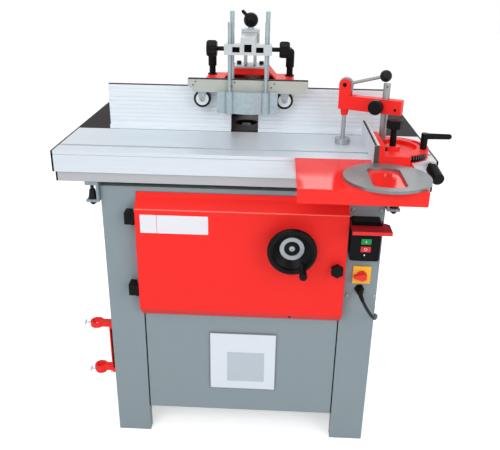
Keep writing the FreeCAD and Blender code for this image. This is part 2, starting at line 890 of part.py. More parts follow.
def hinge_parts():
    """The fixed blocks with their pins, and the leaves on the door, of both hinges."""
    blocks = []
    leaves = []
    right = hinge_axis_x - hinge_block_gap
    for z in hinge_zs:
        half = hinge_height / 2
        block = box(right - hinge_block_width, right, hinge_axis_y - hinge_web, cabinet_front, z, z + hinge_height)
        web = box(right, hinge_axis_x, hinge_axis_y - hinge_web, hinge_axis_y + hinge_web, z, z + half)
        knuckle = rod((hinge_axis_x, hinge_axis_y, z), UP, hinge_knuckle_r, half)
        pin = rod((hinge_axis_x, hinge_axis_y, z), UP, hinge_pin_r, hinge_height)
        blocks.append(joined(block, web, knuckle, pin))
        top = z + half + turn_gap
        leaf = rod((hinge_axis_x, hinge_axis_y, top), UP, hinge_knuckle_r, half - turn_gap)
        tab = box(hinge_axis_x, -door_half_width, hinge_axis_y - hinge_web, hinge_axis_y + hinge_web,
                  top, z + hinge_height)
        bore = rod((hinge_axis_x, hinge_axis_y, z), UP, hinge_pin_r + shaft_gap, hinge_height + cut_over)
        leaves.append(joined(leaf, tab).cut(bore))
    return group(*blocks), group(*leaves)


def door_panel():
    """Red door: a shell with a slanted top and bottom, open at the back."""
    outline = [(door_back, door_top), (door_back - door_flange_step, door_top),
               (door_back - door_flange_step, door_top - door_flange), (door_front, door_break_top),
               (door_front, door_break_bottom), (door_back, door_bottom)]
    points = [(-door_half_width, y, z) for y, z in outline]
    body = prism(points, V(2 * door_half_width, 0, 0))
    back = max(body.Faces, key=lambda face: face.CenterOfMass.y)
    shell = body.makeThickness([back], -door_wall, shell_tolerance)
    if shell.Volume > body.Volume:
        shell = body.cut(shell)
    wheel_hole = rod((wheel_x, door_front - cut_over, wheel_z), BACK, lift_shaft_r + turn_gap, door_depth)
    knob_hole = rod((knob_x, door_front - cut_over, knob_z), BACK, screw_r + turn_gap, door_depth)
    return without(shell, wheel_hole, knob_hole)


def handwheel():
    """Dished wheel turned round its axis, with the stub shaft and its coupling tongue."""
    hub_front = wheel_y + wheel_dish
    profile = [(0, wheel_hub_back), (wheel_hub_r, wheel_hub_back), (wheel_hub_r, hub_front + wheel_web),
               (wheel_r, wheel_y + wheel_web / 2), (wheel_r, wheel_y - wheel_web / 2),
               (wheel_hub_r, hub_front), (wheel_hub_r, hub_front - wheel_web), (0, hub_front - wheel_web)]
    corners = [V(wheel_x + r, y, wheel_z) for r, y in profile]
    face = Part.Face(Part.makePolygon(corners + corners[:1]))
    dish = face.revolve(V(wheel_x, 0, wheel_z), BACK, 360)
    rim = Part.makeTorus(wheel_r, wheel_rim_r, V(wheel_x, wheel_y, wheel_z), BACK)
    stub = rod((wheel_x, wheel_hub_back, wheel_z), BACK, lift_shaft_r, dog_y - turn_gap - wheel_hub_back)
    tongue = box(wheel_x - dog_half_span, wheel_x + dog_half_span, dog_y - turn_gap, dog_y + dog_tongue_length,
                 wheel_z - dog_tongue_width / 2, wheel_z + dog_tongue_width / 2)
    disc = rod((wheel_x, dog_y - turn_gap - dog_slack * 2, wheel_z), BACK, dog_half_span, dog_slack * 2)
    pin_root = wheel_dish / 3
    pin = rod((wheel_x + grip_offset_x, wheel_y + pin_root, wheel_z + grip_offset_z), FRONT, grip_pin_r,
              pin_root + wheel_rim_r + grip_length)
    return joined(dish, rim, stub, disc, tongue, pin)


def handwheel_grip():
    """Tapered grip that turns on the pin of the handwheel."""
    centre = (wheel_x + grip_offset_x, wheel_y - wheel_rim_r - turn_gap, wheel_z + grip_offset_z)
    body = cone(centre, FRONT, grip_base_r, grip_end_r, grip_length)
    crown = rod((centre[0], centre[1] - grip_length, centre[2]), FRONT, grip_end_r, grip_end_r / 2)
    crown = crown.makeFillet(grip_round, [crown.Edges[0]])
    bore = rod((centre[0], centre[1] + cut_over, centre[2]), FRONT, grip_pin_r + shaft_gap, grip_length + cut_over)
    return joined(body, crown).cut(bore)


def door_knob():
    """Lobed latch knob with a neck and a screw through the door."""
    neck = rod((knob_x, door_front - turn_gap, knob_z), FRONT, knob_neck_r, knob_neck)
    head = star_knob((knob_x, door_front - turn_gap - knob_neck, knob_z), FRONT, knob_r, knob_thick,
                     knob_lobe_r, knob_lobes)
    screw = rod((knob_x, door_front - turn_gap, knob_z), BACK, screw_r, door_depth / 2)
    return joined(neck, head, screw)


def switch_box():
    """Switch housing with pockets for two buttons and pins for the stop flap."""
    half = box_width / 2
    body = box(box_x - half, box_x + half, box_front, cabinet_front, box_bottom, box_bottom + box_height)
    upright = [edge for edge in body.Edges if abs(edge.tangentAt(edge.FirstParameter).y) > box_corner_r / box_depth]
    body = body.makeFillet(box_corner_r, upright)
    pockets = []
    for z in button_zs:
        pockets.append(box(button_x - button_width / 2 - button_gap, button_x + button_width / 2 + button_gap,
                           box_front - cut_over, box_front + button_pocket,
                           z - button_height / 2 - button_gap, z + button_height / 2 + button_gap))
    pin_reach = half + turn_gap + flap_arm
    pin = rod((box_x - pin_reach, flap_pin_y, flap_pin_z), RIGHT, flap_pin_r, 2 * pin_reach)
    return joined(without(body, *pockets), pin)


def stop_flap():
    """Hinged paddle: two arms on the box's pins, a plate that widens to the right and a lip to hit."""
    inside = box_width / 2 + turn_gap
    outside = inside + flap_arm
    left = box_x - outside
    right = box_x + outside + flap_flare
    low = flap_plate_top - flap_sheet
    arms = []
    for x in (left, box_x + inside):
        eye = rod((x, flap_pin_y, flap_pin_z), RIGHT, flap_eye_r, flap_arm)
        bar = box(x, x + flap_arm, flap_plate_back, flap_pin_y, low - flap_sheet / 2, flap_plate_top)
        arms.append(joined(eye, bar))
    plate = prism([(left, flap_plate_back, low), (box_x + inside, flap_plate_back, low),
                   (box_x + inside, flap_pin_y, low), (box_x + outside, flap_pin_y, low),
                   (right, flap_wing_front, low), (right, flap_front, low), (left, flap_front, low)],
                  V(0, 0, flap_sheet))
    lip = box(left, right, flap_front, flap_front + flap_sheet, flap_lip_bottom, flap_plate_top)
    bore = rod((left - cut_over, flap_pin_y, flap_pin_z), RIGHT, flap_pin_r + shaft_gap,
               2 * (outside + cut_over))
    return joined(plate, lip, *arms).cut(bore)


def push_button(z):
    """One push button standing proud of the switch box."""
    bottom = box_front + button_pocket - button_stand - turn_gap
    return box(button_x - button_width / 2, button_x + button_width / 2, box_front - button_stand, bottom,
               z - button_height / 2, z + button_height / 2)


def isolator_plate():
    """Plate of the main isolator switch."""
    half = isolator_width / 2
    front = cabinet_front - isolator_thick
    return box(isolator_x - half, isolator_x + half, front, cabinet_front,
               isolator_z - isolator_height / 2, isolator_z + isolator_height / 2)


def isolator_knob():
    """Rotary knob with a pear-shaped grip that points to its setting."""
    face = cabinet_front - isolator_thick - turn_gap
    disc = rod((isolator_x, face, isolator_z), FRONT, isolator_knob_r, isolator_knob_thick)
    half_outline = ((-isolator_tip, isolator_tip_half), (0, isolator_grip_half), (isolator_heel, isolator_heel_half))
    outline = [*half_outline, *[(along, -out) for along, out in reversed(half_outline)]]
    back = face - isolator_knob_thick / 2
    grip = prism([(isolator_x + along, back, isolator_z + out) for along, out in outline],
                 FRONT * (isolator_knob_thick / 2 + isolator_grip_thick))
    return joined(disc, grip)


def cable_gland():
    """Gland in the column that grips the mains lead: hexagon and dome."""
    start = V(gland_x, cabinet_front, gland_z)
    nut = turned(hexagon((gland_x, cabinet_front, gland_z), gland_hex_r, gland_hex_thick), tuple(start), RIGHT, 90)
    dome_y = cabinet_front - gland_hex_thick
    dome = cone((gland_x, dome_y, gland_z), FRONT, gland_dome_r, gland_mouth_r, gland_dome)
    return joined(nut, dome)


def guide_columns():
    """Two ground columns under the table that guide the spindle carriage, tied at the bottom."""
    y = spindle_y + guide_offset_y
    columns = []
    for x in (spindle_x - guide_offset_x, spindle_x + guide_offset_x):
        columns.append(rod((x, y, guide_bottom), UP, guide_column_r, main_under - guide_bottom))
    reach = guide_offset_x + guide_column_r + guide_tie_margin
    half = guide_column_r + guide_tie_margin / 2
    tie = box(spindle_x - reach, spindle_x + reach, y - half, y + half, guide_bottom - guide_tie, guide_bottom)
    return group(*columns, tie)


def spindle_carriage():
    """Casting with the quill housing, two guide sleeves, the lift nut and the motor plate."""
    axis = (spindle_x, spindle_y)
    quill = rod((*axis, quill_bottom), UP, quill_r, quill_top - quill_bottom)
    y = spindle_y + guide_offset_y
    sleeves = []
    bores = []
    for x in (spindle_x - guide_offset_x, spindle_x + guide_offset_x):
        sleeves.append(rod((x, y, sleeve_bottom), UP, sleeve_r, sleeve_top - sleeve_bottom))
        bores.append(rod((x, y, sleeve_bottom - cut_over), UP, guide_column_r + shaft_gap,
                         sleeve_top - sleeve_bottom + 2 * cut_over))
    web = box(spindle_x - guide_offset_x, spindle_x + guide_offset_x, y - carriage_web / 2, y + carriage_web / 2,
              sleeve_bottom + carriage_web_margin, sleeve_top - carriage_web_margin)
    spine = box(spindle_x - carriage_web, spindle_x + carriage_web, spindle_y, y, sleeve_bottom, sleeve_top)
    nut = rod((wheel_x, spindle_y, lift_nut_bottom), UP, lift_nut_r, lift_nut_height)
    nut_arm = box(spindle_x, wheel_x, spindle_y - lift_nut_r / 2, spindle_y + lift_nut_r / 2,
                  lift_nut_bottom, lift_nut_bottom + lift_nut_height)
    nut_bore = rod((wheel_x, spindle_y, lift_nut_bottom - cut_over), UP, lift_screw_r + shaft_gap,
                   lift_nut_height + 2 * cut_over)
    half = motor_r + motor_plate_margin
    plate_top = motor_plate_bottom + motor_plate_thick
    plate = box(motor_x - half, spindle_x + quill_r, spindle_y - half, spindle_y + quill_r,
                motor_plate_bottom, plate_top)
    neck = rod((*axis, plate_top), UP, quill_r, quill_bottom - plate_top)
    shaft_hole = rod((motor_x, spindle_y, motor_plate_bottom - cut_over), UP, motor_shaft_r * 2,
                     motor_plate_thick + 2 * cut_over)
    inside = quill_top - motor_plate_bottom
    relief = rod((*axis, motor_plate_bottom - cut_over), UP, quill_relief_r, inside + 2 * cut_over)
    top_seat = rod((*axis, quill_top - bearing_height), UP, bearing_r, bearing_height + cut_over)
    low_seat = rod((*axis, motor_plate_bottom - cut_over), UP, bearing_r,
                   quill_bottom + bearing_height - motor_plate_bottom + cut_over)
    body = joined(quill, neck, plate, web, spine, *sleeves, nut, nut_arm)
    return without(body, relief, top_seat, low_seat, shaft_hole, nut_bore, *bores)


def spindle_bearings():
    """The two ball bearings in the quill, as closed rings."""
    rings = []
    for z in (quill_bottom, quill_top - bearing_height):
        ring = rod((spindle_x, spindle_y, z), UP, bearing_r, bearing_height)
        rings.append(ring.cut(rod((spindle_x, spindle_y, z - cut_over), UP, spindle_r + shaft_gap,
                                  bearing_height + 2 * cut_over)))
    return group(*rings)


def motor():
    """Finned motor on the carriage plate, with its terminal box, fan cover and a clear shaft hole."""
    bottom = motor_plate_bottom + motor_plate_thick
    body = rod((motor_x, spindle_y, bottom), UP, motor_r, motor_height - motor_cap)
    slots = []
    for i in range(motor_fins):
        slot = box(motor_x + motor_r - motor_fin_depth, motor_x + motor_r + cut_over,
                   spindle_y - motor_fin_width, spindle_y + motor_fin_width,
                   bottom + motor_cap, bottom + motor_height - motor_cap - cut_over)
        slots.append(turned(slot, (motor_x, spindle_y, bottom), UP, 360.0 * i / motor_fins))
    cap_bottom = bottom + motor_height - motor_cap
    cap = cone((motor_x, spindle_y, cap_bottom), UP, motor_r, motor_r - motor_cap / 2, motor_cap)
    wiring = box(motor_x - motor_box_width / 2, motor_x + motor_box_width / 2,
                 spindle_y - motor_r - motor_box_depth, spindle_y - motor_r + motor_box_depth,
                 bottom + motor_box_lift, bottom + motor_box_lift + motor_box_height)
    shaft_hole = rod((motor_x, spindle_y, bottom - cut_over), UP, motor_shaft_r + shaft_gap, motor_height / 2)
    return without(joined(without(body, *slots), cap, wiring), shaft_hole)


def grooved_pulley(x, y, radius):
    """A pulley with two rims that keep the belt on."""
    bottom = belt_z - pulley_width / 2
    drum = rod((x, y, bottom), UP, radius, pulley_width)
    rims = [rod((x, y, z), UP, radius + pulley_rim, pulley_rim) for z in (bottom, bottom + pulley_width - pulley_rim)]
    return joined(drum, *rims)


def spindle_shaft():
    """The spindle with its shoulder and arbor, the spacer collars and the driven pulley."""
    axis = (spindle_x, spindle_y)
    arbor_bottom = spindle_top - arbor_length
    shaft = joined(
        rod((*axis, spindle_bottom), UP, pulley_seat_r, pulley_seat_top - spindle_bottom),
        rod((*axis, pulley_seat_top), UP, spindle_r, arbor_bottom - shoulder - pulley_seat_top),
        rod((*axis, arbor_bottom - shoulder), UP, shoulder_r, shoulder),
        rod((*axis, arbor_bottom), UP, arbor_r, arbor_length))
    thread = rod((*axis, spindle_top - arbor_thread), UP, arbor_thread_r, arbor_thread + cut_over)
    pieces = [shaft.cut(thread)]
    z = arbor_bottom
    for height in collar_heights:
        collar = rod((*axis, z), UP, collar_r, height)
        pieces.append(collar.cut(rod((*axis, z - cut_over), UP, arbor_r + shaft_gap, height + 2 * cut_over)))
        z = z + height
    pulley = grooved_pulley(*axis, pulley_r)
    pieces.append(pulley.cut(rod((*axis, spindle_bottom - cut_over), UP, pulley_seat_r + shaft_gap,
                                 pulley_seat_top - spindle_bottom)))
    return group(*pieces)


def motor_pulley():
    """Driving pulley with the motor's shaft."""
    bottom = belt_z - pulley_width / 2
    shaft_top = motor_plate_bottom + motor_plate_thick + motor_shaft
    shaft = rod((motor_x, spindle_y, bottom), UP, motor_shaft_r, shaft_top - bottom)
    return joined(grooved_pulley(motor_x, spindle_y, motor_pulley_r), shaft)


def belt_loop(extra):
    """Solid inside a line that runs round both pulleys at a distance from their drums."""
    low = belt_z - belt_width / 2
    small = pulley_r + extra
    large = motor_pulley_r + extra
    gap = spindle_x - motor_x
    lean = math.asin((large - small) / gap)
    across = V(math.sin(lean), math.cos(lean), 0)
    start = V(motor_x, spindle_y, low)
    end = V(spindle_x, spindle_y, low)
    flip = V(across.x, -across.y, 0)
    points = [start + across * large, end + across * small, end + flip * small, start + flip * large]
    bridge = prism([tuple(point) for point in points], V(0, 0, belt_width))
    return joined(bridge, rod(tuple(start), UP, large, belt_width), rod(tuple(end), UP, small, belt_width))


def drive_belt():
    """Flat drive belt round the motor and spindle pulleys."""
    return belt_loop(belt_gap + belt_thick).cut(belt_loop(belt_gap))


def bevel_gear(axis):
    """Bevel gear blank whose pitch cone has its tip where the two axes cross; teeth are cut grooves."""
    tip = V(wheel_x, spindle_y, wheel_z)
    inner = gear_inner_r + gear_gap
    outer = gear_outer_r + gear_gap
    start = tip + axis * inner
    body = cone(tuple(start), axis, gear_inner_r, gear_outer_r, outer - inner)
    hub = rod(tuple(tip + axis * outer), axis, gear_hub_r, gear_hub)
    side = RIGHT
    normal = axis.cross(side)
    half = gear_groove / 2
    grooves = []
    for i in range(gear_teeth):
        corners = []
        for reach, rise in ((gear_inner_r, 0), (gear_outer_r, outer - inner)):
            corners.append(start + axis * rise + side * (reach - gear_groove_depth))
        low = [corners[0] - axis * cut_over - side * cut_over, corners[1] + axis * cut_over + side * cut_over]
        wide = [low[1] + side * 2 * cut_over, low[0] + side * 2 * cut_over]
        points = [tuple(corner - normal * half) for corner in low + wide]
        groove = prism(points, normal * gear_groove)
        grooves.append(turned(groove, tuple(tip), axis, 360.0 * i / gear_teeth))
    return joined(without(body, *grooves), hub)


def lift_screw():
    """Upright lift screw with its bevel gear."""
    down = UP * -1
    bottom = wheel_z - lift_screw_below
    screw = rod((wheel_x, spindle_y, bottom), UP, lift_screw_r, lift_screw_top - bottom)
    return joined(screw, bevel_gear(down))


def lift_shaft():
    """Level shaft from the handwheel coupling to the bevel gear."""
    flange = rod((wheel_x, dog_y, wheel_z), BACK, dog_flange_r, dog_flange_thick)
    half = dog_tongue_width / 2 + dog_slack
    slot = box(wheel_x - dog_flange_r - cut_over, wheel_x + dog_flange_r + cut_over,
               dog_y - cut_over, dog_y + dog_tongue_length + dog_slack, wheel_z - half, wheel_z + half)
    gear_back = spindle_y - gear_outer_r - gear_gap
    start = dog_y + dog_flange_thick
    shaft = rod((wheel_x, start, wheel_z), BACK, lift_shaft_r, gear_back - start)
    return joined(flange.cut(slot), shaft, bevel_gear(FRONT))


def fence_plate(ends):
    """One aluminium fence plate with level grooves on its face and a foot along its lower edge."""
    left, right = ends
    plate = box(left, right, fence_front, fence_back, fence_bottom, fence_bottom + fence_height)
    foot = box(left, right, fence_front - fence_foot_depth, fence_front,
               fence_bottom, fence_bottom + fence_foot_height)
    cuts = []
    pitch = (fence_height - fence_foot_height) / (fence_groove_count + 1)
    for i in range(fence_groove_count):
        z = fence_bottom + fence_foot_height + pitch * (i + 1)
        cuts.append(box(left - cut_over, right + cut_over, fence_front - cut_over,
                        fence_front + fence_groove_depth, z - fence_groove / 2, z + fence_groove / 2))
    return without(joined(plate, foot), *cuts)


def fence_hood():
    """Folded and welded hood behind the fence, with the raised cover and the dust port."""
    walls = []
    outline = [(hood_front, fence_bottom), (hood_back, fence_bottom), (hood_back, hood_back_top),
               (hood_cover_back, hood_shoulder), (hood_front, hood_shoulder)]
    for x in (hood_left, hood_right - hood_sheet):
        walls.append(prism([(x, y, z) for y, z in outline], V(hood_sheet, 0, 0)))
    mouth_left = left_plate_ends[1] - mouth_margin
    mouth_right = right_plate_ends[0] + mouth_margin
    for first, last in ((hood_left, mouth_left), (mouth_right, hood_right)):
        walls.append(box(first, last, hood_front, hood_front + hood_sheet, fence_bottom, hood_shoulder))
    walls.append(box(hood_left, hood_right, hood_back - hood_sheet, hood_back, fence_bottom, hood_back_top))
    slope = [(hood_cover_back, hood_shoulder), (hood_back, hood_back_top), (hood_back, hood_back_top - hood_sheet),
             (hood_cover_back, hood_shoulder - hood_sheet)]
    walls.append(prism([(hood_left, y, z) for y, z in slope], V(2 * hood_half_width, 0, 0)))
    walls.append(hood_cover())
    port = rod((hood_x, hood_back, port_z), BACK, port_r, port_length)
    bore = rod((hood_x, hood_back - hood_sheet - cut_over, port_z), BACK, port_r - port_wall,
               port_length + hood_sheet + 2 * cut_over)
    studs = []
    for x in (hood_x - clamp_offset, hood_x + clamp_offset):
        studs.append(rod((x, clamp_y, fence_bottom), UP, clamp_stud_r + turn_gap, hood_top - fence_bottom))
    return without(joined(*walls, port), bore, *studs)


def hood_cover():
    """Top of the hood: two flat shoulders and a raised middle with a lip at the front."""
    foot = hood_cover_foot_half
    half = hood_cover_half
    low = hood_shoulder
    top = hood_top
    outer = [(hood_left, low), (hood_x - foot, low), (hood_x - half, top), (hood_x + half, top),
             (hood_x + foot, low), (hood_right, low)]
    inner = [(x, z - hood_sheet) for x, z in reversed(outer)]
    depth = hood_cover_back - hood_cover_front
    cover = prism([(x, hood_cover_front, z) for x, z in outer + inner], V(0, depth, 0))
    ledge_front = box(hood_left, hood_x - foot, hood_front, hood_cover_front, low - hood_sheet, low)
    ledge_far = box(hood_x + foot, hood_right, hood_front, hood_cover_front, low - hood_sheet, low)
    slope_share = 1 - hood_lip / hood_cover_height
    lip_half = foot + (half - foot) * slope_share
    lip = prism([(x, hood_cover_front, z) for x, z in
                 ((hood_x - half, top), (hood_x + half, top), (hood_x + lip_half, top - hood_lip),
                  (hood_x - lip_half, top - hood_lip))], V(0, hood_sheet, 0))
    back = prism([(x, hood_cover_back - hood_sheet, z) for x, z in
                  ((hood_x - half, top), (hood_x + half, top), (hood_x + foot, low - hood_sheet),
                   (hood_x - foot, low - hood_sheet))], V(0, hood_sheet, 0))
    return joined(cover, ledge_front, ledge_far, lip, back)


def arm_bracket():
    """Bracket on the hood that holds the guard arm: base, uprights, sill, cheeks, bridge and two bolts."""
    base_back = bracket_base_front + bracket_base_depth
    base_top = hood_top + bracket_base_thick
    base = box(arm_x - bracket_base_half, arm_x + bracket_base_half, bracket_base_front, base_back,
               hood_top, base_top)
    inside = arm_width / 2 + slide_gap
    front = bracket_cheek_front
    back = front + bracket_cheek_depth
    bridge_bottom = arm_top + slide_gap
    bridge_top = bridge_bottom + bracket_bridge
    sill_bottom = arm_bottom - slide_gap - bracket_bridge
    cheeks = []
    for x in (arm_x - inside - bracket_cheek, arm_x + inside):
        cheeks.append(box(x, x + bracket_cheek, front, back, sill_bottom, bridge_top))
    for x in (arm_x - bracket_upright_half, arm_x + bracket_upright_half - bracket_upright):
        cheeks.append(box(x, x + bracket_upright, front, back, base_top, sill_bottom))
    bridge = box(arm_x - inside, arm_x + inside, front, back, bridge_bottom, bridge_top)
    sill = box(arm_x - inside, arm_x + inside, front, back, sill_bottom, arm_bottom - slide_gap)
    middle = (front + back) / 2
    boss = rod((arm_x, middle, bridge_top), UP, bracket_boss_r, bracket_boss)
    bore = rod((arm_x, middle, bridge_bottom - cut_over), UP, screw_r + turn_gap,
               bracket_bridge + bracket_boss + 2 * cut_over)
    bolts = []
    for side in (-1, 1):
        bolt_x = arm_x + side * (bracket_base_half - bracket_bolt_r - bracket_base_thick)
        bolts.append(hexagon((bolt_x, middle, base_top), bracket_bolt_r, bracket_bolt_height))
    return joined(base, *cheeks, bridge, sill, boss, *bolts).cut(bore)


def clamp_lever(x):
    """Clamp screw of the hood: stud to the table, washer, sleeve and a handle pointing back."""
    stud = rod((x, clamp_y, fence_bottom + turn_gap), UP, clamp_stud_r, clamp_sleeve_bottom - fence_bottom)
    washer = rod((x, clamp_y, hood_shoulder + turn_gap), UP, clamp_washer_r, clamp_washer)
    sleeve = rod((x, clamp_y, clamp_sleeve_bottom), UP, clamp_sleeve_r, clamp_sleeve_top - clamp_sleeve_bottom)
    cap = ball((x, clamp_y, clamp_sleeve_top), clamp_sleeve_r)
    handle = rod((x, clamp_y, clamp_sleeve_top), BACK, clamp_handle_r, clamp_handle_length)
    tip = ball((x, clamp_y + clamp_handle_length, clamp_sleeve_top), clamp_handle_r)
    return joined(stud, washer, sleeve, cap, handle, tip)


def guard_arm():
    """Square aluminium arm and the crossbar at its front end that takes the four rods."""
    half = arm_width / 2
    arm = box(arm_x - half, arm_x + half, arm_front, arm_back, arm_bottom, arm_top)
    hole = box(arm_x - arm_bore / 2, arm_x + arm_bore / 2, arm_front - cut_over, arm_back + cut_over,
               arm_bottom + arm_bore_lift, arm_bottom + arm_bore_lift + arm_bore)
    bar = box(bar_left, bar_right, arm_front, bar_back, bar_bottom, bar_top)
    notch = box(arm_x - half, arm_x + half, arm_front - cut_over, bar_back + cut_over, arm_bottom, bar_top + cut_over)
    cuts = [notch]
    for x, y in rod_places():
        radius = front_rod_r if y == front_rod_y else rod_r
        cuts.append(rod((x, y, bar_bottom - cut_over), UP, radius + shaft_gap, bar_height + 2 * cut_over))
    window_low = bar_bottom + (bar_height - bar_window_height) / 2
    inner_edge = rod_half_spacing - rod_r - bar_window_margin
    for first, last in ((arm_x - inner_edge, arm_x - half - bar_window_margin),
                        (arm_x + half + bar_window_margin, arm_x + inner_edge)):
        cuts.append(box(first, last, arm_front - cut_over, arm_front + bar_window_depth,
                        window_low, window_low + bar_window_height))
    stud_z = (bar_bottom + bar_top) / 2
    for x, axis in ((bar_left - cut_over, RIGHT), (bar_right + cut_over, RIGHT * -1)):
        cuts.append(rod((x, (front_rod_y + rear_rod_y) / 2, stud_z), axis, rod_knob_stud_r / 2 + turn_gap,
                        rod_knob_stud / 2 + cut_over))
    return group(arm.cut(hole), without(bar, *cuts))


def rod_places():
    """Plan positions of the two front rods and the two rear rods."""
    places = [(guard_rod_x + side * rod_half_spacing, front_rod_y) for side in (-1, 1)]
    rear_x = guard_rod_x + rear_rod_shift
    return places + [(rear_x + side * rear_rod_half_spacing, rear_rod_y) for side in (-1, 1)]


def arm_lever():
    """Black clamp knob of the guard arm: screw, neck, ball and a short lever."""
    middle = bracket_cheek_front + bracket_cheek_depth / 2
    boss_top = arm_top + slide_gap + bracket_bridge + bracket_boss
    screw = rod((arm_x, middle, arm_top + turn_gap), UP, screw_r, boss_top - arm_top)
    neck = cone((arm_x, middle, boss_top + turn_gap), UP, arm_knob_neck_r, arm_knob_neck_r * 2, arm_knob_neck)
    centre = (arm_x, middle, boss_top + arm_knob_neck + arm_ball_rise)
    knob = ball(centre, arm_ball_r)
    flat = box(arm_x - arm_ball_r, arm_x + arm_ball_r, middle - arm_ball_r, middle + arm_ball_r,
               centre[2] - 2 * arm_ball_r, boss_top + turn_gap + arm_knob_neck / 2)
    direction = V(-1, 0, 1).normalize()
    handle = rod(centre, direction, arm_lever_r, arm_lever_length)
    tip = ball(tuple(V(*centre) + direction * arm_lever_length), arm_lever_r)
    return joined(knob.cut(flat), handle, tip, neck, screw)


def rod_knob(x, axis):
    """Star knob with a chrome stud at one end of the crossbar, which clamps the rods."""
    y = (front_rod_y + rear_rod_y) / 2
    z = (bar_bottom + bar_top) / 2
    start = (x + axis.x * turn_gap, y, z)
    stud = rod(start, axis, rod_knob_stud_r, rod_knob_stud)
    tail = rod(start, axis * -1, rod_knob_stud_r / 2, rod_knob_stud / 2)
    head = star_knob((x + axis.x * rod_knob_stud, y, z), axis, rod_knob_r, rod_knob_thick, knob_lobe_r, knob_lobes)
    middle = (x + axis.x * (rod_knob_stud + rod_knob_thick / 2), y, z)
    return joined(stud, tail, head.common(ball(middle, rod_knob_round_r)))


def roller_board():
    """Pressure board with chamfered lower corners and sockets for its two rods."""
    c = board_chamfer
    outline = [(board_left, board_top), (board_left, board_bottom + c), (board_left + c, board_bottom),
               (board_right - c, board_bottom), (board_right, board_bottom + c), (board_right, board_top)]
    board = prism([(x, board_front, z) for x, z in outline], V(0, board_thick, 0))
    sockets = [rod((x, y, board_top - board_socket), UP, rod_r, board_socket + cut_over) for x, y in rod_places()[2:]]
    return without(board, *sockets)


def roller_frame():
    """The board's two rods, and the forks and axles of its rollers."""
    pieces = []
    for x, y in rod_places()[2:]:
        bottom = board_top - board_socket
        pieces.append(rod((x, y, bottom), UP, rod_r, rear_rod_top - bottom))
    front = board_back
    wheel_front = front + fork_plate + roller_gap
    wheel_back = wheel_front + roller_width
    for x in wheel_xs:
        plates = []
        for y in (front, wheel_back + roller_gap):
            outline = [(x - fork_half_width, y, fork_top), (x + fork_half_width, y, fork_top),
                       (x + fork_end_r, y, roller_z), (x - fork_end_r, y, roller_z)]
            round_end = rod((x, y, roller_z), BACK, fork_end_r, fork_plate)
            plates.append(joined(prism(outline, V(0, fork_plate, 0)), round_end))
        roof = box(x - fork_half_width, x + fork_half_width, front, wheel_back + roller_gap + fork_plate,
                   fork_top - fork_plate, fork_top)
        axle = rod((x, front, roller_z), BACK, roller_bore_r - shaft_gap, wheel_back + roller_gap - front)
        pieces.append(joined(*plates, roof, axle))
    return group(*pieces)


def roller(x):
    """Rubber-tyred roller of the pressure board."""
    front = board_back + fork_plate + roller_gap
    body = rod((x, front, roller_z), BACK, roller_r, roller_width)
    return body.cut(rod((x, front - cut_over, roller_z), BACK, roller_bore_r, roller_width + 2 * cut_over))


def bowed_sheet(left, right, y):
    """Sheet between the guard's sleeves, bowed to the front on one arc."""
    half_span = (right - left) / 2
    arc_r = (half_span ** 2 + guard_bow ** 2) / (2 * guard_bow)
    axis = ((left + right) / 2, y + arc_r - guard_bow, guard_bottom)
    outer = rod(axis, UP, arc_r + guard_sheet / 2, guard_height)
    inner = rod(axis, UP, arc_r - guard_sheet / 2, guard_height)
    return outer.cut(inner).common(box(left, right, y - 2 * guard_bow, y, guard_bottom, guard_top))


def cutter_guard():
    """Zinc-plated guard in front of the cutter: bent sheet with sleeves, and its two rods."""
    places = rod_places()[:2]
    half = guard_sheet / 2
    left, right = places[0][0], places[1][0]
    y = front_rod_y
    pieces = [bowed_sheet(left, right, y)]
    for x, side in ((left, -1), (right, 1)):
        pieces.append(rod((x, y, guard_bottom), UP, guard_sleeve_r, guard_height))
        fold = rod((x, y, guard_bottom), UP, guard_fold_r, guard_height)
        pieces.append(fold.common(box(x - guard_fold_r, x + guard_fold_r, y - guard_fold_r, y, guard_bottom, guard_top)))
        far = x + side * (guard_sleeve_r + guard_wing)
        wing = [(x, y - half, guard_bottom), (x, y + half, guard_bottom),
                (far, y + half - guard_wing_bend, guard_bottom), (far, y - half - guard_wing_bend, guard_bottom)]
        pieces.append(prism(wing, V(0, 0, guard_height)))
    depth = guard_height + 2 * cut_over
    bores = [rod((x, y, guard_bottom - cut_over), UP, front_rod_r, depth) for x in (left, right)]
    rods = [rod((x, y, guard_bottom), UP, front_rod_r, front_rod_top - guard_bottom) for x in (left, right)]
    return group(without(joined(*pieces), *bores), *rods)


def extension_plate():
    """Folded sheet shelf in front of the sliding table, open underneath."""
    body = box(ext_left, ext_right, ext_back - ext_depth, ext_back, ext_top - ext_height, ext_top)
    inside = box(ext_left + ext_sheet, ext_right - ext_sheet, ext_back - ext_depth + ext_sheet, ext_back - ext_sheet,
                 ext_top - ext_height - cut_over, ext_top - ext_sheet)
    return body.cut(inside)


def spare_ring():
    """Loose table ring lying on the extension plate, with a barrel-shaped opening and round corners."""
    bottom = ext_top
    disc = rod((spare_x, spare_y, bottom), UP, spare_r, spare_thick)
    x = spare_x - spare_opening_left
    y = spare_y - spare_opening_front
    opening = rod((x, y, bottom - cut_over), UP, spare_opening_r, spare_thick + 2 * cut_over)
    sides = box(x - spare_opening_half, x + spare_opening_half, y - spare_r, y + spare_r,
                bottom - cut_over, bottom + spare_thick + cut_over)
    opening = opening.common(sides)
    corners = [edge for edge in opening.Edges if abs(edge.BoundBox.ZLength) > spare_thick]
    return disc.cut(opening.makeFillet(spare_corner_r, corners))


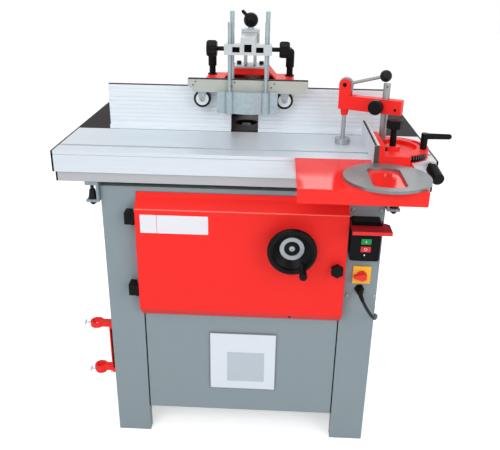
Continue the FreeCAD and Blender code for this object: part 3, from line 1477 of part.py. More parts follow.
def push_handle():
    """Handle to push the sliding table: a steel rod in the table's face and a round grip."""
    direction = V(*handle_direction).normalize()
    start = V(*handle_start)
    stem = rod(tuple(start - direction * handle_rod_r), direction, handle_rod_r, handle_rod + handle_rod_r)
    stem = stem.cut(box(start.x - handle_grip_r, start.x + handle_grip_r, 0, handle_grip_r,
                        start.z - handle_grip_r, start.z + handle_grip_r))
    grip = rod(tuple(start + direction * handle_rod), direction, handle_grip_r, handle_grip)
    ends = [edge for edge in grip.Edges if len(edge.Vertexes) == 1]
    grip = grip.makeFillet(handle_round, ends)
    return group(stem, grip)


def mitre_base():
    """Mitre head: round plate with a straight front, a pocket, a curved slot and a flange for its fence."""
    pivot = (pivot_x, t_slot_y)
    disc = rod((*pivot, mitre_bottom), UP, mitre_r, mitre_thick)
    front = box(mitre_left, mitre_front_right, mitre_front, t_slot_y, mitre_bottom, mitre_top)
    left_cut = box(mitre_left - 2 * mitre_r, mitre_left, mitre_front - mitre_r, t_slot_y + 2 * mitre_r,
                   mitre_bottom - cut_over, mitre_top + cut_over)
    flange = box(mitre_left, mitre_left + mitre_flange, mitre_front, mitre_flange_back, mitre_top - mitre_thick / 2,
                 mitre_top + mitre_flange_height)
    boss = rod((post_x, post_y, mitre_bottom), UP, post_boss_r, mitre_thick + post_boss)
    pocket = rod((*pivot, mitre_top - mitre_pocket_depth), UP, mitre_pocket_r, mitre_pocket_depth + cut_over)
    keep = rod((*pivot, mitre_bottom), UP, mitre_boss_r, 2 * mitre_thick)
    pocket = without(pocket, keep, boss, flange)
    body = joined(without(joined(disc, front), left_cut), boss)
    post_bore = rod((post_x, post_y, mitre_bottom + post_seat), UP, post_r + shaft_gap, 2 * mitre_thick)
    pivot_bore = rod((*pivot, mitre_bottom - cut_over), UP, mitre_screw_r + shaft_gap, mitre_thick + 2 * cut_over)
    body = without(body, pocket)
    return without(joined(body, flange), post_bore, pivot_bore, curved_slot())


def curved_slot():
    """The arc-shaped slot that the clamp stud runs in."""
    half = mitre_slot_width / 2
    low = mitre_bottom - cut_over
    height = mitre_thick + 2 * cut_over
    pivot = (pivot_x, t_slot_y)
    sweep = mitre_slot_end - mitre_slot_start
    outer = Part.makeCylinder(mitre_slot_r + half, height, V(*pivot, low), UP, sweep)
    inner = Part.makeCylinder(mitre_slot_r - half, height, V(*pivot, low), UP, sweep)
    band = turned(outer.cut(inner), (*pivot, low), UP, mitre_slot_start)
    ends = []
    for angle in (mitre_slot_start, mitre_slot_end):
        x = pivot_x + mitre_slot_r * math.cos(math.radians(angle))
        y = t_slot_y + mitre_slot_r * math.sin(math.radians(angle))
        ends.append(rod((x, y, low), UP, half, height))
    return joined(band, *ends)


def mitre_fence():
    """Aluminium fence bar on the mitre head, with a slot along its top."""
    left = mitre_left - mitre_fence_thick
    body = box(left, mitre_left, mitre_fence_front, mitre_fence_back, mitre_bottom, mitre_bottom + mitre_fence_height)
    middle = (left + mitre_left) / 2
    top = mitre_bottom + mitre_fence_height
    slot = box(middle - mitre_fence_slot / 2, middle + mitre_fence_slot / 2, mitre_fence_front - cut_over,
               mitre_fence_back + cut_over, top - mitre_fence_slot, top + cut_over)
    return body.cut(slot)


def mitre_lever():
    """Clamp lever of the mitre head, with its stud through the curved slot to the table."""
    foot = mitre_top + turn_gap
    hub = rod((lever_x, lever_y, foot), UP, lever_hub_r, lever_hub)
    stud = rod((lever_x, lever_y, mitre_bottom), UP, lever_stud_r, foot - mitre_bottom)
    axis_z = foot + lever_hub - lever_drop
    handle = cone((lever_x, lever_y, axis_z), RIGHT, lever_root_r, lever_end_r, lever_length)
    tip = ball((lever_x + lever_length, lever_y, axis_z), lever_end_r)
    return joined(hub, stud, handle, tip)


def mitre_knob():
    """Tall clamp knob on the mitre pivot, with its screw and the nut in the table's T-slot."""
    foot = mitre_top + turn_gap
    stem = rod((pivot_x, t_slot_y, foot), UP, mitre_stem_r, mitre_stem - turn_gap)
    head = star_knob((pivot_x, t_slot_y, mitre_knob_bottom), UP, mitre_knob_r, mitre_knob_thick,
                     knob_lobe_r, knob_lobes)
    nut_top = table_top - t_slot_lip - slide_gap
    screw = rod((pivot_x, t_slot_y, nut_top - mitre_nut), UP, mitre_screw_r, foot - nut_top + mitre_nut)
    nut = rod((pivot_x, t_slot_y, nut_top - mitre_nut), UP, mitre_nut_r, mitre_nut)
    return joined(stem, head, screw, nut)


def hold_down_post():
    """Bright post that stands in the mitre head's boss."""
    bottom = mitre_bottom + post_seat + turn_gap
    return rod((post_x, post_y, bottom), UP, post_r, post_top - bottom)


def along_arm(distance, side, z):
    """A point at a distance from the plunger along the hold-down arm, and to its rear side."""
    c, s = math.cos(hold_angle), math.sin(hold_angle)
    return V(plunger_x + distance * c - side * s, plunger_y + distance * s + side * c, z)


def arm_block(start, end, half_width, z0, z1):
    """A block in the arm's own direction."""
    points = [along_arm(start, -half_width, z0), along_arm(end, -half_width, z0),
              along_arm(end, half_width, z0), along_arm(start, half_width, z0)]
    return prism([tuple(point) for point in points], V(0, 0, z1 - z0))


def across_arm():
    """Direction across the hold-down arm, towards its front."""
    return V(math.sin(hold_angle), -math.cos(hold_angle), 0)


def hold_down_arm():
    """Cast arm with the plunger boss, two cheeks for the cam and a split end on the post."""
    half = hold_width / 2
    bar = arm_block(0, hold_length + hold_tail, half, hold_bottom, hold_top)
    boss_half = boss_width / 2
    seat_z = cam_z - cam_r - cam_offset - cam_seat_gap
    cheek_half = cam_thick / 2 + cheek_gap
    boss = arm_block(-boss_half, boss_half, half, hold_bottom, cam_z)
    head = rod(tuple(along_arm(0, half, cam_z)), across_arm(), boss_half, hold_width)
    nose = cone((plunger_x, plunger_y, boss_bottom), UP, boss_tip_r, boss_nose_r, hold_bottom - boss_bottom)
    bore = rod((plunger_x, plunger_y, boss_bottom - cut_over), UP, plunger_r + shaft_gap, cam_z - boss_bottom)
    cam_room = arm_block(-boss_width, boss_width, cheek_half, seat_z - cam_travel, cam_z + 2 * boss_half)
    post_bore = rod((post_x, post_y, hold_bottom - cut_over), UP, post_r + shaft_gap, hold_height + 2 * cut_over)
    pin = rod(tuple(along_arm(0, half, cam_z)), across_arm(), cam_pin_r, hold_width)
    knob_at = along_arm(hold_length - hold_knob_back, 0, (hold_bottom + hold_top) / 2)
    knob_bore = rod(tuple(knob_at), across_arm(), screw_r + turn_gap, hold_width)
    body = without(joined(bar, boss, head, nose), bore, cam_room, post_bore, knob_bore)
    return joined(body, pin)


def cam_lever():
    """Eccentric cam with its lever and ball knob."""
    centre = along_arm(0, cam_thick / 2, cam_z)
    disc = rod(tuple(centre - V(0, 0, cam_offset)), across_arm(), cam_r, cam_thick)
    eye = rod(tuple(centre), across_arm(), cam_r, cam_thick)
    bore = rod(tuple(centre - across_arm() * cut_over), across_arm(), cam_pin_r + shaft_gap, cam_thick + 2 * cut_over)
    rise = math.radians(cam_lever_angle)
    c, s = math.cos(hold_angle), math.sin(hold_angle)
    direction = V(c * math.cos(rise), s * math.cos(rise), math.sin(rise))
    axis = along_arm(0, 0, cam_z)
    lever = rod(tuple(axis + direction * cam_lever_start), direction, cam_lever_r, cam_lever_length - cam_r)
    knob = ball(tuple(axis + direction * cam_lever_length), cam_ball_r)
    return joined(disc, eye, lever, knob).cut(bore)


def plunger():
    """Plunger rod with the round pressure foot."""
    foot = rod((plunger_x, plunger_y, table_top + slide_gap), UP, foot_r, foot_height)
    top = cam_z - cam_r - cam_offset - cam_seat_gap
    stem_bottom = table_top + slide_gap + foot_height
    return joined(foot, rod((plunger_x, plunger_y, stem_bottom), UP, plunger_r, top - stem_bottom))


def hold_knob():
    """Knob that clamps the hold-down arm on its post."""
    middle = (hold_bottom + hold_top) / 2
    start = along_arm(hold_length - hold_knob_back, -hold_width / 2 - turn_gap, middle)
    axis = across_arm()
    neck = rod(tuple(start), axis, hold_knob_neck_r, hold_knob_neck)
    head = rod(tuple(start + axis * hold_knob_neck), axis, hold_knob_r, hold_knob_thick)
    head = head.makeFillet(hold_knob_round, [edge for edge in head.Edges if len(edge.Vertexes) == 1])
    screw = rod(tuple(start), axis * -1, screw_r, hold_width / 2)
    return joined(neck, head, screw)


def rounded_path(points):
    """Wire of straight runs and arcs, each arc as large as its two runs allow; also its radii."""
    run_share = 0.45
    edges = []
    radii = []
    last = points[0]
    for before, corner, after in zip(points, points[1:], points[2:]):
        into = corner - before
        out = after - corner
        setback = run_share * min(into.Length, out.Length)
        into.normalize()
        out.normalize()
        half_turn = into.getAngle(out) / 2
        start = corner - into * setback
        end = corner + out * setback
        radius = setback / math.tan(half_turn)
        inward = (out - into).normalize()
        middle = corner + inward * (radius / math.cos(half_turn) - radius)
        edges.append(Part.LineSegment(last, start).toShape())
        edges.append(Part.Arc(start, middle, end).toShape())
        radii.append(radius)
        last = end
    edges.append(Part.LineSegment(last, points[-1]).toShape())
    return Part.Wire(edges), radii


def pipe(wire, start, direction):
    """A round cord of the lead's diameter along a wire."""
    ring = Part.Wire([Part.Circle(start, direction, cord_d / 2).toShape()])
    return wire.makePipeShell([ring], True, False)


def power_cord():
    """The part of the mains lead that isn't coiled."""
    start = V(gland_x, cabinet_front - gland_hex_thick - gland_dome, gland_z)
    points = [start] + [V(*point) for point in cord_route]
    wire, radii = rounded_path(points)
    tube = pipe(wire, points[0], points[1] - points[0])
    section = math.pi * cord_d ** 2 / 4
    print("cord radii", [round(radius) for radius in radii])
    print("cord length", round(wire.Length), "volume ratio", round(tube.Volume / (section * wire.Length), 4))
    return tube


def coil_point(turn):
    """Centre line of the coil after some turns: spiral in, climb to the second layer, spiral out."""
    outer_r = coil_r_inner + coil_pitch * coil_turns_per_layer
    climb = coil_climb_turns
    past = turn - coil_turns_per_layer
    if past <= 0:
        radius = outer_r - coil_pitch * turn
        lift = 0
    elif past >= climb:
        radius = coil_r_inner + coil_pitch * (past - climb)
        lift = 1
    else:
        share = past / climb
        radius = coil_r_inner - coil_pitch * climb * share * (1 - share)
        lift = share * share * (3 - 2 * share)
    angle = 2 * math.pi * turn + math.pi / 2
    return V(radius * math.cos(angle), radius * math.sin(angle), lift * coil_pitch)


def biarc(start, start_way, end, end_way):
    """Two arcs that join two points and keep both directions."""
    gap = end - start
    ways = start_way + end_way
    a = ways.dot(ways) - 4
    b = -2 * gap.dot(ways)
    c = gap.dot(gap)
    reach = (-b - math.sqrt(b * b - 4 * a * c)) / (2 * a)
    first = start + start_way * reach
    second = end - end_way * reach
    joint = (first + second) * (1 / 2)
    arcs = []
    for begin, corner, finish in ((start, first, joint), (joint, second, end)):
        chord_middle = (begin + finish) * (1 / 2)
        into = (corner - begin).normalize()
        out = (finish - corner).normalize()
        half_turn = into.getAngle(out) / 2
        radius = (corner - begin).Length / math.tan(half_turn)
        inward = (chord_middle - corner).normalize()
        middle = corner + inward * (radius / math.cos(half_turn) - radius)
        arcs.append(Part.Arc(begin, middle, finish).toShape())
    return arcs


def coil_and_plug():
    """The rest of the lead, wound in two layers behind the machine, and the plug on its end."""
    route_end = V(*cord_route[-1])
    way = (route_end - V(*cord_route[-2])).normalize()
    step = 1e-4
    quarters = 4
    total = 2 * coil_turns_per_layer + coil_climb_turns + coil_last_turns
    count = int(total * quarters)
    turns = [total * i / count for i in range(count + 1)]
    points = [coil_point(turn) for turn in turns]
    ways = [(coil_point(min(turn + step, total)) - coil_point(max(turn - step, 0))).normalize() for turn in turns]
    twist = math.degrees(math.atan2(way.y, way.x) - math.atan2(ways[0].y, ways[0].x))
    lead_in = way * cord_d
    place = FreeCAD.Placement(V(0, 0, 0), FreeCAD.Rotation(UP, twist))
    shift = route_end + lead_in - place.multVec(points[0])
    points = [place.multVec(point) + shift for point in points]
    ways = [place.multVec(direction) for direction in ways]
    edges = [Part.LineSegment(route_end, points[0]).toShape()]
    for i in range(count):
        edges.extend(biarc(points[i], ways[i], points[i + 1], ways[i + 1]))
    end = points[-1] + ways[-1] * coil_tail
    edges.append(Part.LineSegment(points[-1], end).toShape())
    wire = Part.Wire(edges)
    coil = pipe(wire, route_end, way)
    samples = 60
    trail = [coil_point(total * i / (samples * total)) for i in range(int(samples * total))]
    gaps = [(a - b).Length - cord_d for i, a in enumerate(trail) for b in trail[i + samples * 3 // 4:]]
    print("coil length", round(wire.Length), "least gap between turns", round(min(gaps), 2))
    return coil, mains_plug(end, ways[-1])


def mains_plug(start, way):
    """Moulded plug with a tapered neck and two pins, lying on the floor."""
    level = V(way.x, way.y, 0).normalize()
    side = UP.cross(level)
    neck = cone(tuple(start), level, plug_neck_r, plug_r - slide_gap, plug_neck)
    body_start = start + level * plug_neck
    body = rod(tuple(body_start), level, plug_r - slide_gap, plug_length)
    pins = []
    for offset in (-plug_pin_spacing / 2, plug_pin_spacing / 2):
        pin_start = body_start + level * plug_length + side * offset
        pins.append(rod(tuple(pin_start), level, plug_pin_r, plug_pin_length))
    return joined(neck, body, *pins)


def nodes():
    """Every node of the machine by name, in the drawing frame."""
    blocks, leaves = hinge_parts()
    coil, plug = coil_and_plug()
    return {
        "side_columns": side_columns(),
        "cabinet_panels": cabinet_panels(),
        "main_table": main_table(),
        "table_ring": table_ring(),
        "slide_rail": slide_rail(),
        "rail_brackets": rail_brackets(),
        "side_bracket": side_bracket(),
        "hinge_blocks": blocks,
        "hinge_leaves": leaves,
        "door_panel": door_panel(),
        "handwheel": handwheel(),
        "handwheel_grip": handwheel_grip(),
        "door_knob": door_knob(),
        "switch_box": switch_box(),
        "stop_flap": stop_flap(),
        "stop_button": push_button(button_zs[0]),
        "start_button": push_button(button_zs[1]),
        "isolator_plate": isolator_plate(),
        "isolator_knob": isolator_knob(),
        "cable_gland": cable_gland(),
        "guide_columns": guide_columns(),
        "spindle_carriage": spindle_carriage(),
        "spindle_bearings": spindle_bearings(),
        "motor": motor(),
        "drive_belt": drive_belt(),
        "spindle_shaft": spindle_shaft(),
        "motor_pulley": motor_pulley(),
        "lift_screw": lift_screw(),
        "lift_shaft": lift_shaft(),
        "fence_hood": fence_hood(),
        "left_fence_plate": fence_plate(left_plate_ends),
        "right_fence_plate": fence_plate(right_plate_ends),
        "left_clamp_lever": clamp_lever(hood_x - clamp_offset),
        "right_clamp_lever": clamp_lever(hood_x + clamp_offset),
        "arm_bracket": arm_bracket(),
        "guard_arm": guard_arm(),
        "arm_lever": arm_lever(),
        "left_rod_knob": rod_knob(bar_left, RIGHT * -1),
        "right_rod_knob": rod_knob(bar_right, RIGHT),
        "roller_board": roller_board(),
        "roller_frame": roller_frame(),
        "left_roller": roller(wheel_xs[0]),
        "right_roller": roller(wheel_xs[1]),
        "cutter_guard": cutter_guard(),
        "sliding_table": sliding_table(),
        "extension_plate": extension_plate(),
        "spare_ring": spare_ring(),
        "push_handle": push_handle(),
        "mitre_base": mitre_base(),
        "mitre_fence": mitre_fence(),
        "mitre_lever": mitre_lever(),
        "mitre_knob": mitre_knob(),
        "hold_down_post": hold_down_post(),
        "hold_down_arm": hold_down_arm(),
        "hold_knob": hold_knob(),
        "cam_lever": cam_lever(),
        "plunger": plunger(),
        "power_cord": power_cord(),
        "cord_coil": coil,
        "mains_plug": plug,
    }


cord_nodes = ("power_cord", "cord_coil", "mains_plug")


def origin_shift(shapes):
    """Vector that brings the middle of the machine, without its lead, over the origin."""
    whole = FreeCAD.BoundBox()
    for name, shape in shapes.items():
        if name not in cord_nodes:
            whole.add(shape.optimalBoundingBox(False))
    return V(-whole.Center.x, -whole.Center.y, 0)


def main():
    os.makedirs("parts", exist_ok=True)
    shapes = nodes()
    shift = origin_shift(shapes)
    print("shift", round(shift.x, 3), round(shift.y, 3), "nodes", len(shapes))
    for name, shape in shapes.items():
        placed = shape.translated(shift)
        if not placed.isValid():
            print("not valid:", name)
        placed.exportStep(f"parts/{name}.step")
        print(name, "solids", len(placed.Solids), "volume", round(placed.Volume))


if __name__ == "__main__":
    main()
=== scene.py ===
# %% [markdown]
# # A spindle moulder, dressed for its portrait
# The machine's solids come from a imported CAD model, and this lesson dresses them: finishes for every
# solid, and the thin things that a CAD model leaves out, such as plates, screw heads, dial rings and
# the mains lead. Everything is in metres, in the same frame as the CAD model.

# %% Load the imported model
import math

import bmesh
import bpy
import numpy as np
from mathutils import Matrix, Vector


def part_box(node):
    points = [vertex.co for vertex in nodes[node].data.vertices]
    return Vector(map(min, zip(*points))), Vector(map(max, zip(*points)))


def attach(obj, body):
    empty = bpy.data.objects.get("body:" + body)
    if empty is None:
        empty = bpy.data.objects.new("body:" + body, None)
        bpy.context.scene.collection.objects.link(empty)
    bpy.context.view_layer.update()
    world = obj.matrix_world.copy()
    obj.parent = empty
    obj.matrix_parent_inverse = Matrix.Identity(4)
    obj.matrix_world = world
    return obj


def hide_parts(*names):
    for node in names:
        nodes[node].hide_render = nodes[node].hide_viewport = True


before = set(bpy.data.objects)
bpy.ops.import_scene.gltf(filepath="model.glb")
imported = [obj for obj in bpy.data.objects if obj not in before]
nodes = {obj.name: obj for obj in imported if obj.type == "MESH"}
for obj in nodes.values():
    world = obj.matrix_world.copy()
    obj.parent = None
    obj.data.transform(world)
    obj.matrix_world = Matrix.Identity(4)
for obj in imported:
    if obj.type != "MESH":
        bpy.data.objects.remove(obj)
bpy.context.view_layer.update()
print("solids loaded:", len(nodes))

# %% [markdown]
# The machine was drawn from the middle of its table and the front edge of the sliding table, which are
# easy to find in a picture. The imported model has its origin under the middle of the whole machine. One
# small function turns places in millimetres on the drawing into metres in the model, and it reads the
# offset from two solids, so that it stays right if the model's box changes.

# %% Drawing places to model places
MM = 0.001
table_low, table_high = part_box("main_table")
slide_low, slide_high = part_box("sliding_table")
drawing_zero = np.array([(table_low.x + table_high.x) / 2, slide_low.y, 0.0])


def place(points_mm):
    """Drawing points in millimetres, turned to model points in metres: scale, then add the drawing's zero."""
    return np.asarray(points_mm, float) * MM + drawing_zero


print("drawing zero in the model:", drawing_zero.round(4))

# %% [markdown]
# The camera stands where the photographer stood: about one and a half metres in front of the machine and
# above the table, looking down. Its place and turn were fitted to the corners of the table and the
# cabinet. The three directions of the camera are the columns of its matrix.

# %% Camera
camera_mm = (87.0, -1541.0, 1397.5)
yaw, pitch, roll = (math.radians(a) for a in (2.36, 23.15, 0.96))
focal_px, image_px, sensor_mm = 624.0, 500.0, 36.0

level = np.array([-math.sin(yaw), math.cos(yaw), 0.0])
side = np.array([math.cos(yaw), math.sin(yaw), 0.0])
upright = np.array([0.0, 0.0, 1.0])
forward = level * math.cos(pitch) - upright * math.sin(pitch)
top = upright * math.cos(pitch) + level * math.sin(pitch)
turned_side = side * math.cos(roll) + top * math.sin(roll)
turned_top = top * math.cos(roll) - side * math.sin(roll)

camera = bpy.data.objects.new("portrait_camera", bpy.data.cameras.new("portrait_camera"))
bpy.context.scene.collection.objects.link(camera)
camera.data.sensor_fit = "HORIZONTAL"
camera.data.sensor_width = sensor_mm
camera.data.lens = focal_px / image_px * sensor_mm
pose = np.eye(4)
pose[:3, 0], pose[:3, 1], pose[:3, 2], pose[:3, 3] = turned_side, turned_top, -forward, place(camera_mm)
camera.matrix_world = Matrix(pose.tolist())
bpy.context.scene.camera = camera
print("lens", round(camera.data.lens, 2), "mm")

# %% [markdown]
# Every finish is a small tree of nodes. Colours are written as sRGB hex values, the way a paint card or a
# screen gives them, and one function turns them to the linear values that the shader wants. One more
# function adds a node with its settings and its links, so that each material below reads as a list of
# what it is made of.

# %% Helpers for finishes
def linear(code):
    """sRGB hex to linear RGBA: the part below 0.04045 is divided by 12.92, the rest follows the 2.4 power."""
    parts = [int(code[i:i + 2], 16) / 255 for i in (1, 3, 5)]
    return [p / 12.92 if p <= 0.04045 else ((p + 0.055) / 1.055) ** 2.4 for p in parts] + [1.0]


def add(tree, kind, inputs=None, **settings):
    """Adds a node; inputs maps a socket's name or number to a value, or to another node's output."""
    node = tree.nodes.new("ShaderNode" + kind)
    for key, value in settings.items():
        setattr(node, key, value)
    for key, value in (inputs or {}).items():
        if isinstance(value, bpy.types.NodeSocket):
            tree.links.new(value, node.inputs[key])
        else:
            node.inputs[key].default_value = value
    return node


def new_material(name):
    """An empty material with its output node, and the object coordinates that its patterns read."""
    material = bpy.data.materials.new(name)
    material.use_nodes = True
    tree = material.node_tree
    tree.nodes.clear()
    output = add(tree, "OutputMaterial")
    where = add(tree, "TexCoord").outputs["Object"]
    return material, tree, output, where


print("paint card check, mid grey:", round(linear("#bcbcbc")[0], 3))

# %% [markdown]
# Powder coat is a plastic skin baked on steel. It is glossy, with a faint orange peel a millimetre or two
# across, and its colour is very even. The peel comes from a noise a little over a millimetre in size. The
# Bevel node rounds the shading at the sharp folds of the sheet, which is what catches the light on a real
# edge. The extension plate is polished smoother by the wood that slides on it, so it mirrors what stands
# behind it.

# %% Powder coats
def powder_coat(name, colour, deep, roughness, peel_mm, peel, edge_mm=1.2, mirror=0.12):
    """Even paint: colour drifts towards deep over 160 mm, and a fine noise lifts the surface."""
    drift_mm = 160.0
    material, tree, output, where = new_material(name)
    drift = add(tree, "TexNoise", {"Vector": where, "Scale": 1 / (drift_mm * MM), "Detail": 2.0})
    tint = add(tree, "MixRGB", {0: drift.outputs[0], 1: linear(deep), 2: linear(colour)})
    peels = add(tree, "TexNoise", {"Vector": where, "Scale": 1 / (peel_mm * MM), "Detail": 1.0})
    round_edge = add(tree, "Bevel", {"Radius": edge_mm * MM}, samples=4)
    bump = add(tree, "Bump", {"Height": peels.outputs[0], "Strength": peel, "Distance": peel_mm * MM,
                              "Normal": round_edge.outputs[0]})
    shader = add(tree, "BsdfPrincipled", {"Base Color": tint.outputs[0], "Roughness": roughness,
                                          "Specular IOR Level": mirror, "Normal": bump.outputs[0]})
    tree.links.new(shader.outputs[0], output.inputs[0])
    return material


red, deep_red = "#f6302a", "#ee2a25"
red_coat = powder_coat("red_powder_coat", red, deep_red, 0.42, 1.4, 0.05)
polished_red_coat = powder_coat("polished_red_powder_coat", red, deep_red, 0.1, 2.4, 0.006,
                                edge_mm=2.5, mirror=0.14)
grey_coat = powder_coat("blue_grey_powder_coat", "#8c9a9f", "#86949a", 0.46, 0.9, 0.10)
motor_coat = powder_coat("motor_grey_enamel", "#5b6468", "#525a5e", 0.5, 1.6, 0.10)
print("powder coats:", red_coat.name, polished_red_coat.name, grey_coat.name, motor_coat.name)

# %% [markdown]
# Extruded aluminium comes out of its die with fine lines along its length, and anodising leaves it pale
# and satin. The lines are a noise squeezed across the run: the Mapping node makes it long in one
# direction and thin in the other two. The cast table is darker: ground iron, its base colour darkened further
# as painted shade and painted dark reflection.

# %% Drawn and ground metals
def drawn_metal(name, colour, deep, roughness, metallic, stretch, line_mm, strength, mirror=0.5):
    """Metal with lines along one axis: stretch gives the three axes' scales, and 1 is a line's width."""
    material, tree, output, where = new_material(name)
    squeezed = add(tree, "Mapping", {"Vector": where, "Scale": [s / (line_mm * MM) for s in stretch]})
    lines = add(tree, "TexNoise", {"Vector": squeezed.outputs[0], "Scale": 1.0, "Detail": 3.0})
    tint = add(tree, "MixRGB", {0: lines.outputs[0], 1: linear(deep), 2: linear(colour)})
    gloss = add(tree, "MapRange", {"Value": lines.outputs[0], "To Min": roughness - 0.06, "To Max": roughness + 0.08})
    round_edge = add(tree, "Bevel", {"Radius": 0.8 * MM}, samples=4)
    bump = add(tree, "Bump", {"Height": lines.outputs[0], "Strength": strength, "Distance": 0.2 * MM,
                              "Normal": round_edge.outputs[0]})
    shader = add(tree, "BsdfPrincipled", {"Base Color": tint.outputs[0], "Roughness": gloss.outputs[0],
                                          "Metallic": metallic, "Specular IOR Level": mirror,
                                          "Normal": bump.outputs[0]})
    tree.links.new(shader.outputs[0], output.inputs[0])
    return material


along_x = (0.01, 1.0, 1.0)
along_z = (1.0, 1.0, 0.01)
table_aluminium = drawn_metal("anodised_aluminium_table", "#d6dde3", "#c6cfd7", 0.36, 0.3, along_x, 2.2, 0.12)
fence_aluminium = drawn_metal("anodised_aluminium_fence", "#e9eef2", "#d3dbe2", 0.44, 0.2, along_x, 2.6, 0.10)
board_aluminium = drawn_metal("painted_aluminium_board", "#b4b8b1", "#a9ada6", 0.5, 0.1, along_x, 3.0, 0.05)
ground_iron = drawn_metal("ground_cast_iron_painted_dark_reflection", "#343132", "#292727", 0.6, 0.0, along_x, 1.6, 0.15, mirror=0.05)
bright_steel = drawn_metal("bright_drawn_steel", "#b4b8b9", "#979b9d", 0.25, 0.6, along_z, 1.2, 0.06)
rough_iron = drawn_metal("sand_cast_iron", "#4d5154", "#3b3f42", 0.62, 0.3, (0.6, 0.6, 0.6), 1.8, 0.5)
print("metals made:", table_aluminium.name, fence_aluminium.name, ground_iron.name)

# %% [markdown]
# A ring that was faced on a lathe carries fine circles round its own middle. The Mapping node moves the
# pattern's zero to that middle, and a wave texture in rings draws the circles. Their real pitch is a few
# tenths of a millimetre, too fine to show here, so they are drawn about three millimetres apart.

# %% Turned steel
def turned_steel(name, centre_mm, colour, deep, roughness, metallic, pitch_mm=3.2):
    """Steel with circles round a centre: a ring wave on coordinates measured from that centre."""
    material, tree, output, where = new_material(name)
    moved = add(tree, "Mapping", {"Vector": where, "Location": [-c for c in place(centre_mm)]})
    rings = add(tree, "TexWave", {"Vector": moved.outputs[0], "Scale": 1 / (pitch_mm * MM) / math.tau,
                                  "Distortion": 1.2, "Detail": 2.0}, wave_type="RINGS", rings_direction="Z")
    blotch_per_metre = 22.0
    blotch = add(tree, "TexNoise", {"Vector": where, "Scale": blotch_per_metre, "Detail": 3.0})
    mixed = add(tree, "Math", {0: rings.outputs[1], 1: blotch.outputs[0]}, operation="MULTIPLY")
    tint = add(tree, "MixRGB", {0: mixed.outputs[0], 1: linear(deep), 2: linear(colour)})
    gloss = add(tree, "MapRange", {"Value": mixed.outputs[0], "To Min": roughness - 0.05, "To Max": roughness + 0.1})
    round_edge = add(tree, "Bevel", {"Radius": 1.0 * MM}, samples=4)
    bump = add(tree, "Bump", {"Height": rings.outputs[1], "Strength": 0.03, "Distance": 0.1 * MM,
                              "Normal": round_edge.outputs[0]})
    shader = add(tree, "BsdfPrincipled", {"Base Color": tint.outputs[0], "Roughness": gloss.outputs[0],
                                          "Metallic": metallic, "Normal": bump.outputs[0]})
    tree.links.new(shader.outputs[0], output.inputs[0])
    return material


spindle_mm = (-8.0, 360.0, 0.0)
spare_mm = (347.0, -151.0, 0.0)
loose_ring_steel = turned_steel("faced_steel_loose_ring", spare_mm, "#9a9ea0", "#6f7375", 0.36, 0.5, pitch_mm=1.2)
spindle_steel = turned_steel("turned_steel_spindle", spindle_mm, "#a9abad", "#77797b", 0.35, 0.85)
black_spindle = turned_steel("black_oxide_spindle", spindle_mm, "#3b3a3b", "#2a292a", 0.5, 0.3)
# The table ring's dark colour is partly the iron's own tone and partly painted shade under the hood.
table_ring_iron = turned_steel("iron_table_ring_painted_shade", spindle_mm, "#4b4847", "#383534", 0.6, 0.2)
print("turned steels:", loose_ring_steel.name, spindle_steel.name, black_spindle.name, table_ring_iron.name)

# %% [markdown]
# Zinc plating crystallises in patches a few millimetres across, which a Voronoi texture draws well: each
# cell gets its own tone. On thin rolled sheet the tones lie close together, as on the cutter guard and the
# roller forks, so the sheet looks plain from far off.

# %% Zinc plate
zinc_cell_mm = 7.0
zinc_plate, tree, output, where = new_material("zinc_plated_sheet")
cells = add(tree, "TexVoronoi", {"Vector": where, "Scale": 1 / (zinc_cell_mm * MM)})
zinc_tint = add(tree, "MixRGB", {0: cells.outputs["Color"], 1: linear("#98a8ae"), 2: linear("#a6b4ba")})
zinc_edge = add(tree, "Bevel", {"Radius": 0.8 * MM}, samples=4)
zinc_shader = add(tree, "BsdfPrincipled", {"Base Color": zinc_tint.outputs[0], "Metallic": 0.5, "Roughness": 0.36,
                                           "Normal": zinc_edge.outputs[0]})
tree.links.new(zinc_shader.outputs[0], output.inputs[0])
print("zinc:", zinc_plate.name)

# %% [markdown]
# Knobs, levers and boxes are moulded in filled nylon or ABS. The mould is spark eroded, which leaves a
# fine grain under a millimetre, here drawn at about one millimetre so that it shows. Rubber is the same
# idea with a rougher skin.

# %% Moulded plastics and rubber
def moulded(name, colour, deep, roughness, grain_mm=1.0, grain=0.08, edge_mm=1.0, mirror=0.2):
    """Moulded skin: a fine grain lifts the surface and moves the tone between two near colours."""
    material, tree, output, where = new_material(name)
    skin = add(tree, "TexNoise", {"Vector": where, "Scale": 1 / (grain_mm * MM), "Detail": 2.0})
    tint = add(tree, "MixRGB", {0: skin.outputs[0], 1: linear(deep), 2: linear(colour)})
    round_edge = add(tree, "Bevel", {"Radius": edge_mm * MM}, samples=4)
    bump = add(tree, "Bump", {"Height": skin.outputs[0], "Strength": grain, "Distance": grain_mm * MM,
                              "Normal": round_edge.outputs[0]})
    shader = add(tree, "BsdfPrincipled", {"Base Color": tint.outputs[0], "Roughness": roughness,
                                          "Specular IOR Level": mirror, "Normal": bump.outputs[0]})
    tree.links.new(shader.outputs[0], output.inputs[0])
    return material


